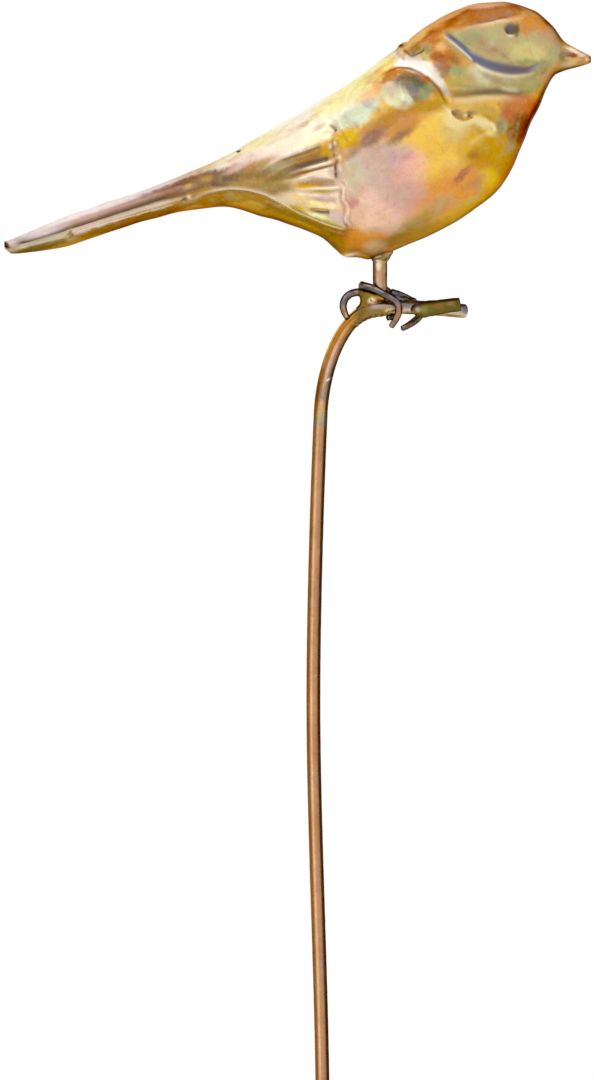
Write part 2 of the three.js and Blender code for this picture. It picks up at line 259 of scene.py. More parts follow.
def even_path(points, step):
    length = run_along(points)
    where = np.linspace(0, length[-1], max(int(length[-1] / step), 4) + 1)
    return np.stack([np.interp(where, length, points[:, k]) for k in range(points.shape[1])], axis=1)


# %% Sweeping a bar along a path
CAP_TURNS = (0.35, 0.7, 1.0, 1.25, 1.42)  # radians round a rounded end
RING_WAVES = 7  # sines that make a bar uneven


def ring_axes(tangents):
    """Two axes square to each tangent, carried along without twist."""
    side = np.cross(tangents[0], (0, 1, 0))
    if np.linalg.norm(side) < 0.1:
        side = np.cross(tangents[0], (1, 0, 0))
    axes = []
    for tangent in tangents:
        side = side - tangent * side.dot(tangent)
        side /= np.linalg.norm(side)
        axes.append((side.copy(), np.cross(tangent, side)))
    return axes


def tube_faces(rings, sides):
    faces = []
    for i in range(rings - 1):
        for k in range(sides):
            a, b = i * sides + k, i * sides + (k + 1) % sides
            faces.append((a, b, b + sides, a + sides))
    return faces


def sweep(path, radius, sides, cap=(0.0, 0.0), wobble=0.0, seed=0):
    """Rings of points along a path, as (points, faces). cap rounds each end by that share of the radius."""
    path = np.asarray(path, float)
    radius = np.broadcast_to(np.asarray(radius, float), len(path)).copy()
    tangents = np.gradient(path, axis=0)
    tangents /= np.linalg.norm(tangents, axis=1)[:, None]
    rng = np.random.default_rng(seed)
    waves = [(rng.uniform(0.3, 1.6), rng.integers(0, 4), rng.uniform(0, 6.28)) for _ in range(RING_WAVES)]
    turn = np.linspace(0, 2 * math.pi, sides, endpoint=False)
    rows = []
    for centre, size, run, (across, over) in zip(path, radius, run_along(path), ring_axes(tangents)):
        bump = sum(np.sin(rate * run + lobes * turn + phase) for rate, lobes, phase in waves) / RING_WAVES
        reach = size * (1 + wobble * bump)
        rows.append(centre + np.outer(reach * np.cos(turn), across) + np.outer(reach * np.sin(turn), over))
    for end, share in ((0, cap[0]), (-1, cap[1])):
        if share:
            out = -tangents[0] if end == 0 else tangents[-1]
            flat = rows[end] - path[end]
            bulge = out * radius[end] * share
            extra = [path[end] + flat * math.cos(a) + bulge * math.sin(a) for a in CAP_TURNS]
            rows = extra[::-1] + rows if end == 0 else rows + extra
    points = np.vstack(rows)
    faces = tube_faces(len(rows), sides)
    for start, flip in ((0, True), ((len(rows) - 1) * sides, False)):
        middle = len(points)
        points = np.vstack([points, points[start:start + sides].mean(axis=0)])
        for k in range(sides):
            pair = (start + k, start + (k + 1) % sides)
            faces.append((middle, *(pair[::-1] if flip else pair)))
    return points, faces


print("helpers ready")

# %% [markdown]
# ## Finishes as node groups
# A torch leaves a film of oxide on copper whose colour depends on how hot each spot became. The effects
# that several of the metals share are made once as node groups: one soft-edged flame mark, cloudy drift
# of the tint, uneven gloss with fine pits, and painted shade on the faces turned up with painted light on
# those turned down.


# %% Node helpers
def tone(hex_colour):
    """A colour given as six hex digits, in the linear values that shaders take."""
    def linear(c):
        return c / 12.92 if c <= 0.04045 else ((c + 0.055) / 1.055) ** 2.4

    return tuple(linear(int(hex_colour[i:i + 2], 16) / 255) for i in (0, 2, 4)) + (1.0,)


def feed(tree, socket, value):
    """Links a socket to the output it is given, or sets it to a plain value."""
    if hasattr(value, "is_linked"):
        tree.links.new(value, socket)
    else:
        socket.default_value = value


def new_group(name, inputs, outputs):
    group = bpy.data.node_groups.new(name, "ShaderNodeTree")
    for kind, label, value in inputs:
        socket = group.interface.new_socket(label, in_out="INPUT", socket_type="NodeSocket" + kind)
        if value is not None:
            socket.default_value = value
    for kind, label in outputs:
        group.interface.new_socket(label, in_out="OUTPUT", socket_type="NodeSocket" + kind)
    return group, group.nodes.new("NodeGroupInput"), group.nodes.new("NodeGroupOutput")


def math_node(tree, operation, *values):
    node = tree.nodes.new("ShaderNodeMath")
    node.operation = operation
    for socket, value in zip(node.inputs, values):
        feed(tree, socket, value)
    return node.outputs[0]


def times(tree, a, b):
    return math_node(tree, "MULTIPLY", a, b)


def vector_node(tree, operation, *values):
    node = tree.nodes.new("ShaderNodeVectorMath")
    node.operation = operation
    for socket, value in zip(node.inputs, values):
        feed(tree, socket, value)
    return node.outputs["Value" if operation in ("LENGTH", "DOT_PRODUCT") else "Vector"]


def mix_colour(tree, factor, a, b, blend="MIX"):
    node = tree.nodes.new("ShaderNodeMix")
    node.data_type = "RGBA"
    node.blend_type = blend
    for socket, value in zip((node.inputs[0], node.inputs[6], node.inputs[7]), (factor, a, b)):
        feed(tree, socket, value)
    return node.outputs[2]


def noise(tree, place, scale, detail=3.0, rough=0.55, output="Fac"):
    node = tree.nodes.new("ShaderNodeTexNoise")
    for label, value in (("Vector", place), ("Scale", scale), ("Detail", detail), ("Roughness", rough)):
        feed(tree, node.inputs[label], value)
    return node.outputs[output]


def span(tree, value, low, high, to_low=0.0, to_high=1.0, smooth=True):
    """Carries a value from the range low to high over to another range."""
    node = tree.nodes.new("ShaderNodeMapRange")
    node.interpolation_type = "SMOOTHSTEP" if smooth else "LINEAR"
    for socket, number in zip(node.inputs[:5], (value, low, high, to_low, to_high)):
        feed(tree, socket, number)
    return node.outputs["Result"]


def separate(tree, vector):
    node = tree.nodes.new("ShaderNodeSeparateXYZ")
    tree.links.new(vector, node.inputs[0])
    return node.outputs


# %% Group: one flame mark
def flame_mark_group():
    group, start, end = new_group(
        "flame_mark",
        [("Vector", "Place", None), ("Vector", "Centre", None), ("Vector", "Reach", None),
         ("Float", "Turn", 0.0), ("Float", "Edge", 0.5), ("Float", "Strength", 1.0)],
        [("Float", "Mask")],
    )
    offset = vector_node(group, "SUBTRACT", start.outputs["Place"], start.outputs["Centre"])
    turned = group.nodes.new("ShaderNodeVectorRotate")
    turned.rotation_type = "Y_AXIS"
    group.links.new(offset, turned.inputs["Vector"])
    group.links.new(start.outputs["Turn"], turned.inputs["Angle"])
    scaled = vector_node(group, "DIVIDE", turned.outputs["Vector"], start.outputs["Reach"])
    distance = vector_node(group, "LENGTH", scaled)
    inner = math_node(group, "SUBTRACT", 1.0, start.outputs["Edge"])
    outer = math_node(group, "ADD", 1.0, start.outputs["Edge"])
    mask = span(group, distance, inner, outer, 1.0, 0.0)
    group.links.new(times(group, mask, start.outputs["Strength"]), end.inputs["Mask"])
    return group


FLAME_MARK = flame_mark_group()


# %% Group: cloudy drift of the tint
def tint_drift_group():
    group, start, end = new_group(
        "tint_drift",
        [("Vector", "Place", None), ("Color", "Colour", (1, 1, 1, 1)), ("Color", "Warm", (1, 0.6, 0.5, 1)),
         ("Color", "Cool", (0.7, 0.9, 0.8, 1)), ("Color", "Rose", (0.8, 0.6, 0.6, 1)),
         ("Float", "Amount", 0.3)],
        [("Color", "Colour")],
    )
    place, amount = start.outputs["Place"], start.outputs["Amount"]
    slow = noise(group, place, 110.0, 4.0, 0.62)
    middle = noise(group, vector_node(group, "ADD", place, (3.1, 1.7, 0.4)), 280.0, 4.0, 0.62)
    fine = noise(group, place, 760.0, 3.0, 0.6)
    colour = start.outputs["Colour"]
    for cloud, low, high, label in ((slow, 0.5, 0.66, "Warm"), (slow, 0.48, 0.34, "Cool"),
                                    (middle, 0.52, 0.68, "Rose")):
        share = times(group, span(group, cloud, low, high), amount)
        colour = mix_colour(group, share, colour, start.outputs[label])
    pale = times(group, span(group, middle, 0.44, 0.24), times(group, amount, 0.4))
    colour = mix_colour(group, pale, colour, (1.0, 0.94, 0.8, 1.0))
    speck = times(group, span(group, fine, 0.56, 0.72), amount)
    colour = mix_colour(group, speck, colour, start.outputs["Warm"], "MULTIPLY")
    grain = noise(group, vector_node(group, "ADD", place, (1.3, 2.9, 5.7)), 480.0, 4.0, 0.65, "Color")
    grain = vector_node(group, "MULTIPLY_ADD", grain, (2, 2, 2), (-0.5, -0.5, -0.5))
    grain = vector_node(group, "MINIMUM", vector_node(group, "MAXIMUM", grain, (0, 0, 0)), (1, 1, 1))
    grain_share = math_node(group, "MINIMUM", times(group, amount, 0.6), 0.16)
    colour = mix_colour(group, grain_share, colour, grain, "OVERLAY")
    group.links.new(colour, end.inputs["Colour"])
    return group


TINT_DRIFT = tint_drift_group()


# %% Group: uneven gloss and fine pits
def worn_gloss_group():
    group, start, end = new_group(
        "worn_gloss",
        [("Vector", "Place", None), ("Float", "Smooth", 0.25), ("Float", "Rough", 0.45),
         ("Float", "Grain", 1500.0)],
        [("Float", "Roughness"), ("Float", "Height")],
    )
    place = start.outputs["Place"]
    cloud = noise(group, place, 160.0, 5.0, 0.65)
    uneven = span(group, cloud, 0.3, 0.7, start.outputs["Smooth"], start.outputs["Rough"])
    group.links.new(uneven, end.inputs["Roughness"])
    pits = noise(group, place, start.outputs["Grain"], 4.0, 0.5)
    dent = noise(group, place, 240.0, 2.0, 0.5)
    group.links.new(math_node(group, "ADD", times(group, pits, 0.35), dent), end.inputs["Height"])
    return group


WORN_GLOSS = worn_gloss_group()


# %% Group: painted shade above, painted light below
def painted_top_shade_group():
    group, start, end = new_group(
        "painted_top_shade",
        [("Vector", "Normal", None), ("Color", "Colour", (1, 1, 1, 1)),
         ("Color", "Soot", (0.03, 0.03, 0.02, 1)), ("Color", "Bare", (0.7, 0.5, 0.4, 1)),
         ("Float", "Amount", 0.8)],
        [("Color", "Colour")],
    )
    upward = vector_node(group, "DOT_PRODUCT", start.outputs["Normal"], (-0.4, 0, 0.92))
    colour = start.outputs["Colour"]
    # faces turned up get painted shade, faces turned down painted light
    for low, high, label in ((-0.15, -0.8, "Bare"), (0.3, 0.8, "Soot")):
        share = times(group, span(group, upward, low, high), start.outputs["Amount"])
        colour = mix_colour(group, share, colour, start.outputs[label])
    group.links.new(colour, end.inputs["Colour"])
    return group


PAINTED_TOP_SHADE = painted_top_shade_group()


# %% Using a group in a material
def use_group(tree, group, **values):
    node = tree.nodes.new("ShaderNodeGroup")
    node.node_tree = group
    for label, value in values.items():
        feed(tree, node.inputs[label], value)
    return node.outputs


def metal(name):
    material = bpy.data.materials.new(name)
    material.use_nodes = True
    tree = material.node_tree
    shader = tree.nodes["Principled BSDF"]
    shader.inputs["Metallic"].default_value = 1.0
    place = tree.nodes.new("ShaderNodeTexCoord").outputs["Object"]
    return material, tree, shader, place


def facing(tree):
    """The direction each point of the piece faces, in the piece's own frame."""
    return tree.nodes.new("ShaderNodeTexCoord").outputs["Normal"]


def drifted(tree, place, colour, warm, cool, rose, amount):
    return use_group(tree, TINT_DRIFT, Place=place, Colour=colour, Warm=tone(warm), Cool=tone(cool),
                     Rose=tone(rose), Amount=amount)["Colour"]


def tinted(tree, colour, value, rows, within=None):
    """Mixes in each row's colour as a value runs from low to high, within a mask if there is one."""
    for low, high, amount, shade in rows:
        share = span(tree, value, low, high, 0.0, amount)
        if within is not None:
            share = times(tree, share, within)
        colour = mix_colour(tree, share, colour, tone(shade))
    return colour


def colour_ramp(tree, value, stops):
    """A ramp through (position, colour) stops, the first at 0 and the last at 1."""
    node = tree.nodes.new("ShaderNodeValToRGB")
    tree.links.new(value, node.inputs["Fac"])
    elements = node.color_ramp.elements
    elements[0].color = tone(stops[0][1])
    elements[1].color = tone(stops[-1][1])
    for position, shade in stops[1:-1]:
        elements.new(position).color = tone(shade)
    return node.outputs["Color"]


def finish_metal(tree, shader, place, colour, smooth, rough, grain, bump):
    """The oxide film also tints what is seen at a glancing angle, so the edges keep their colour."""
    tree.links.new(colour, shader.inputs["Base Color"])
    tree.links.new(colour, shader.inputs["Specular Tint"])
    gloss = use_group(tree, WORN_GLOSS, Place=place, Smooth=smooth, Rough=rough, Grain=grain)
    tree.links.new(gloss["Roughness"], shader.inputs["Roughness"])
    relief = tree.nodes.new("ShaderNodeBump")
    relief.inputs["Distance"].default_value = bump
    relief.inputs["Strength"].default_value = 0.5
    tree.links.new(gloss["Height"], relief.inputs["Height"])
    tree.links.new(relief.outputs["Normal"], shader.inputs["Normal"])


print("node groups:", [g.name for g in bpy.data.node_groups])

# %% [markdown]
# ## Flamed copper
# The torch went over the bird in patches: brown on the crown, green-gold on the cheek, saffron and orange
# on the breast, rose and lavender on the flank, mint on the wing and a pale cream along the back. Each
# patch is one flame mark with its place in photograph pixels, its reach, its slope, and how soft and how
# strong it is. The place is first shifted by noise, so that the marks run into each other like real heat
# colours. Some marks are painted highlight and painted shade instead, such as the white nape groove, the
# bright rims and the shade under the wing; the lists say which.

# %% The flame marks
FLAME_MARKS = [
    # name, centre px, reach px, slope in degrees, edge, strength, colour
    ("back_cream", (300, 122), (120, 26), -34, 0.4, 1.0, "FBF0D4"),
    ("back_lemon", (350, 92), (40, 9), -34, 0.8, 0.8, "F4E490"),
    ("back_white", (286, 142), (40, 9), -28, 0.8, 0.8, "FAEED4"),
    ("back_yellow", (262, 140), (22, 6), -32, 0.9, 0.6, "F6EDB0"),
    ("back_pink", (272, 156), (20, 6), -22, 0.9, 0.6, "F0D6CC"),
    ("back_streak", (303, 125), (9, 2.2), -28, 0.8, 0.55, "C29A72"),
    ("back_streak_low", (278, 140), (18, 1.8), -26, 0.9, 0.4, "D8B8A0"),
    ("rump_rose", (238, 166), (30, 8), -26, 0.7, 0.9, "E8CCC0"),
    ("rump_brown", (229, 176), (24, 8), -16, 0.7, 0.9, "86684E"),
    ("rump_orange", (251, 168), (8, 5), -20, 0.8, 0.8, "B88038"),
    ("rump_green", (246, 178), (9, 4), -8, 0.8, 0.7, "8C825C"),
    ("tail_top", (95, 212), (112, 12), -20, 0.4, 1.0, "EFE2E2"),
    ("tail_mauve", (148, 203), (72, 5), -20, 0.8, 0.5, "B69A9C"),
    ("tail_brown", (168, 194), (34, 7), -18, 0.7, 0.85, "9C7A68"),
    ("tail_root", (203, 183), (40, 9), -14, 0.5, 0.95, "7E5E44"),
    ("tail_root_dark", (199, 185), (10, 4), -18, 0.8, 0.8, "4E4426"),
    ("tail_strip", (128, 214), (66, 6), -18, 0.3, 1.0, "FAE8E0"),
    ("tail_strip_end", (40, 242), (36, 5), -18, 0.35, 0.95, "DDD0B4"),
    ("pleats_base", (302, 190), (46, 34), -4, 0.3, 1.0, "F0D8B4"),
    ("vent_strip", (214, 197), (54, 8), -3, 0.3, 1.0, "B4840E"),
    ("vent", (310, 228), (66, 10), 22, 0.3, 1.0, "C8A030"),
    ("vent_olive", (334, 240), (14, 9), 30, 0.8, 0.7, "9C8420"),
    ("flank_rose", (388, 190), (52, 46), 0, 0.65, 1.0, "F0C8B0"),
    ("breast_gold", (446, 148), (60, 44), -30, 0.6, 1.0, "F8CA54"),
    ("breast_top", (466, 132), (24, 14), 12, 0.8, 0.85, "DECA80"),
    ("breast_saffron", (494, 154), (30, 38), 24, 0.5, 1.0, "C89600"),
    ("breast_lemon", (488, 179), (11, 9), -30, 0.7, 0.9, "EACE14"),
    ("breast_amber", (508, 160), (9, 18), 24, 0.8, 0.7, "C2921C"),
    ("breast_grey", (511, 146), (6, 8), 20, 0.9, 0.7, "AC9C7A"),
    ("belly_orange", (446, 195), (42, 20), -30, 0.7, 0.95, "EE9E44"),
    ("belly_grey", (437, 207), (15, 7), -28, 0.9, 0.5, "B49C70"),
    ("belly_gold", (462, 213), (62, 8), -32, 0.6, 0.95, "DEB446"),
    ("belly_olive", (418, 221), (20, 6), -24, 0.8, 0.75, "B99A40"),
    ("belly_low", (366, 241), (26, 12), 10, 0.6, 0.95, "FCA428"),
    ("belly_amber", (412, 234), (34, 7), -20, 0.6, 0.9, "CCA038"),
    ("belly_shine", (378, 250), (9, 3), -10, 0.8, 0.7, "F4D49C"),
    ("flank_lavender", (378, 166), (26, 24), 0, 0.8, 0.9, "D2B4A4"),
    ("flank_violet", (402, 160), (14, 12), 0, 1.0, 0.7, "CBA2B2"),
    ("flank_pink", (412, 170), (14, 18), 10, 0.9, 0.75, "FCBCA6"),
    ("flank_mauve", (398, 196), (24, 18), -20, 0.9, 0.75, "D8A4A2"),
    ("flank_low", (371, 212), (24, 18), 0, 0.8, 0.85, "FFD4B6"),
    ("flank_green", (354, 172), (9, 22), 4, 0.8, 0.85, "D2C8A6"),
    ("flank_red", (352, 202), (5, 7), -20, 0.8, 0.8, "CC8A80"),
    ("spot_high", (471.5, 155), (4.4, 4), 0, 0.9, 0.8, "B06C34"),
    ("spot_low", (461, 176), (11, 3.8), -48, 0.95, 0.8, "B0685A"),
    ("spot_mauve", (476, 184), (9, 5), -40, 1.0, 0.5, "B48C74"),
    # neck_gold: gold tint with a painted highlight below the neck line
    ("neck_gold", (478, 102), (34, 7), 2, 0.5, 1.0, "E0B454"),
    ("neck_olive", (488, 112), (14, 6), 20, 0.8, 0.7, "BFA040"),
    # painted highlights on the breast's scalloped edge
    ("scallop_highlight_left", (452, 122), (12, 5), 36, 0.8, 0.85, "F4DE9C"),
    ("scallop_highlight_right", (485, 126.5), (10, 4.5), 16, 0.8, 0.85, "F2E09C"),
    ("front_orange", (519, 108), (18, 14), 10, 0.4, 1.0, "C87A38"),
    ("front_brown", (518, 128), (11, 15), 22, 0.5, 1.0, "925C1C"),
    ("front_grey", (502, 126), (4.5, 11), 6, 0.8, 0.8, "A2A07C"),
    ("front_brick", (508, 116), (6, 7), 10, 0.9, 0.6, "B8643C"),
    ("collar_tan", (500, 82), (46, 12), 0, 0.4, 1.0, "BCA676"),
    ("collar_cream", (480, 75), (13, 8), 30, 0.7, 0.9, "DED6AE"),
    ("collar_olive", (530, 84), (15, 9), -20, 0.7, 0.85, "AAA060"),
    ("collar_mauve", (488, 77), (7, 4), 20, 1.0, 0.6, "A08A70"),
    ("chin", (549, 76), (8, 9), 30, 0.7, 0.8, "D2A27E"),
    # the nape groove's painted highlight, greying at its tip
    ("nape_white", (415, 66.5), (21, 8), 18, 0.5, 1.0, "FDFBF4"),
    ("nape_white_low", (434.5, 79), (13, 4.2), 48, 0.6, 0.85, "F2E8DC"),
    ("nape_tip", (445.5, 93), (8, 2.4), 56, 0.6, 0.85, "CDBCB0"),
    ("nape_beige", (416, 58.5), (7, 4.5), 20, 0.7, 0.9, "D8B8A0"),
    ("nape_green", (426.5, 55), (4, 7), 0, 0.8, 0.85, "B2B27C"),
    ("nape_grey", (425, 45), (6, 3.5), -10, 0.8, 0.8, "BBAA98"),
    ("lobe_orange", (446, 49), (18, 9), 34, 0.4, 1.0, "C27A20"),
    ("lobe_left", (437, 52), (6, 10), 0, 0.6, 0.95, "B66C22"),
    # painted highlight on the lobe
    ("lobe_highlight", (442, 47.5), (6, 4), 20, 0.9, 0.9, "E4B070"),
    ("lobe_brown", (441, 58), (9, 5), 10, 0.7, 0.9, "A05C28"),
    ("lobe_mauve", (438, 66), (5, 4), 0, 0.9, 0.8, "9A7C74"),
    ("lobe_red", (447, 67), (5, 5), 0, 0.8, 0.85, "A25C44"),
    ("collar_green", (457, 71), (9, 6), 0, 0.8, 0.9, "9CA878"),
    ("collar_yellow", (457, 84), (12, 4.5), 0, 0.8, 0.9, "BAA848"),
    ("collar_orange", (466, 79), (5, 5), 0, 0.9, 0.7, "CC9C4C"),
    ("cheek", (506, 46), (58, 22), 6, 0.25, 1.0, "C0B07A"),
    ("cheek_green", (470, 38), (16, 7), 14, 0.8, 0.85, "A0A474"),
    ("cheek_brown", (489, 48), (15, 8), 24, 0.9, 0.75, "B8946E"),
    ("cheek_lemon", (530, 52), (18, 9), 6, 0.8, 0.9, "D6CA80"),
    ("cheek_low", (520, 64), (26, 4), -2, 0.8, 0.75, "9C965A"),
    ("cheek_front", (556, 50), (7, 8), 0, 0.8, 0.7, "A6B28E"),
    ("forehead", (552, 36), (11, 9), 45, 0.8, 0.85, "C69E7C"),
    # crown_tan: tan tint with a painted highlight along the ridge between crown and cheek
    ("crown_tan", (497, 20.5), (22, 4.4), -10, 0.7, 0.95, "F4C08A"),
    ("cap_back", (424, 36), (34, 9), -37, 0.4, 1.0, "C88436"),
    ("cap_brown", (433, 35), (12, 4), -30, 0.8, 0.9, "B2682C"),
    # painted highlight along the cap's edge
    ("cap_highlight", (414, 40), (15, 2.8), -37, 0.7, 0.9, "F2C87E"),
    ("cap_gold", (415.5, 49), (7, 4.5), -35, 0.7, 0.95, "98701E"),
    ("crown", (488, 11), (46, 12), -8, 0.35, 1.0, "B87848"),
    ("crown_left", (458, 23), (12, 7), -30, 0.7, 0.9, "B87430"),
    ("crown_pink", (464, 19), (8, 3), -30, 0.9, 0.7, "CC9470"),
    ("crown_front", (540, 17), (18, 5), 32, 0.7, 0.85, "AE7638"),
    ("brow", (527, 27), (7, 9.5), 6, 0.5, 1.0, "D48E44"),
    ("brow_front", (535, 25), (10, 6.5), 20, 0.5, 1.0, "D89444"),
    ("beak", (577, 58), (18, 12), 12, 0.35, 1.0, "CC9862"),
    ("shoulder_wash", (378, 87), (9, 8), -40, 0.8, 0.85, "E09A48"),
    ("shoulder_rim_a", (389, 76), (11, 5), -36, 0.5, 1.0, "BE7830"),
    ("shoulder_rim_b", (406, 72), (12, 4), 0, 0.45, 1.0, "C47A22"),
    ("shoulder_rim_c", (422, 78), (12, 4.5), 38, 0.45, 1.0, "C8721A"),
    ("shoulder_rim_d", (435, 90), (11, 4.5), 58, 0.45, 1.0, "B4862A"),
    ("shoulder_rim_e", (440, 103), (9, 6), 72, 0.5, 1.0, "D09C18"),
    ("wing_amber", (416, 109), (34, 7), -8, 0.5, 1.0, "C49824"),
    # wing_copper to wing_plum_low: the band under the wing's lower edge, copper and orange, darkened to plum
    # as painted shade
    ("wing_copper", (388, 121), (30, 7), -26, 0.6, 0.95, "C48634"),
    ("wing_orange", (404, 126), (22, 8), -30, 0.8, 0.9, "D49042"),
    ("wing_plum", (372, 138), (16, 7), -34, 0.8, 0.9, "986E5C"),
    ("wing_plum_low", (399, 138), (12, 4), -36, 0.9, 0.8, "A06C58"),
    # panel_grey: the panel's olive-grey tint, dark as painted shade on the facet turned away
    ("panel_grey", (412, 88), (17, 13), 34, 0.4, 1.0, "706C4E"),
    ("panel_blue", (413, 93), (8, 5), 20, 0.8, 0.65, "747A8C"),
    ("panel_green", (424, 94), (6, 8), 20, 0.8, 0.9, "92A674"),
    ("panel_brown", (396, 80), (9, 3), -24, 0.8, 0.85, "8A705A"),
    # panel_pale and panel_mint: painted highlight on the facet turned to the light
    ("panel_pale", (395, 96), (16, 11), 28, 0.4, 1.0, "D2CDA2"),
    ("panel_rose", (391, 85), (7, 4), -20, 0.8, 0.85, "E2C2AE"),
    ("panel_mint", (404, 98), (9, 3.5), 40, 0.8, 0.9, "E2EACC"),
    ("covert_mint", (358, 114), (24, 10), -30, 0.5, 1.0, "CED8B8"),
    ("covert_lilac", (371, 104.5), (9, 3), -20, 0.8, 0.5, "C8BACA"),
    ("covert_yellow", (347, 139), (11, 9), -20, 0.4, 1.0, "D8B018"),
]
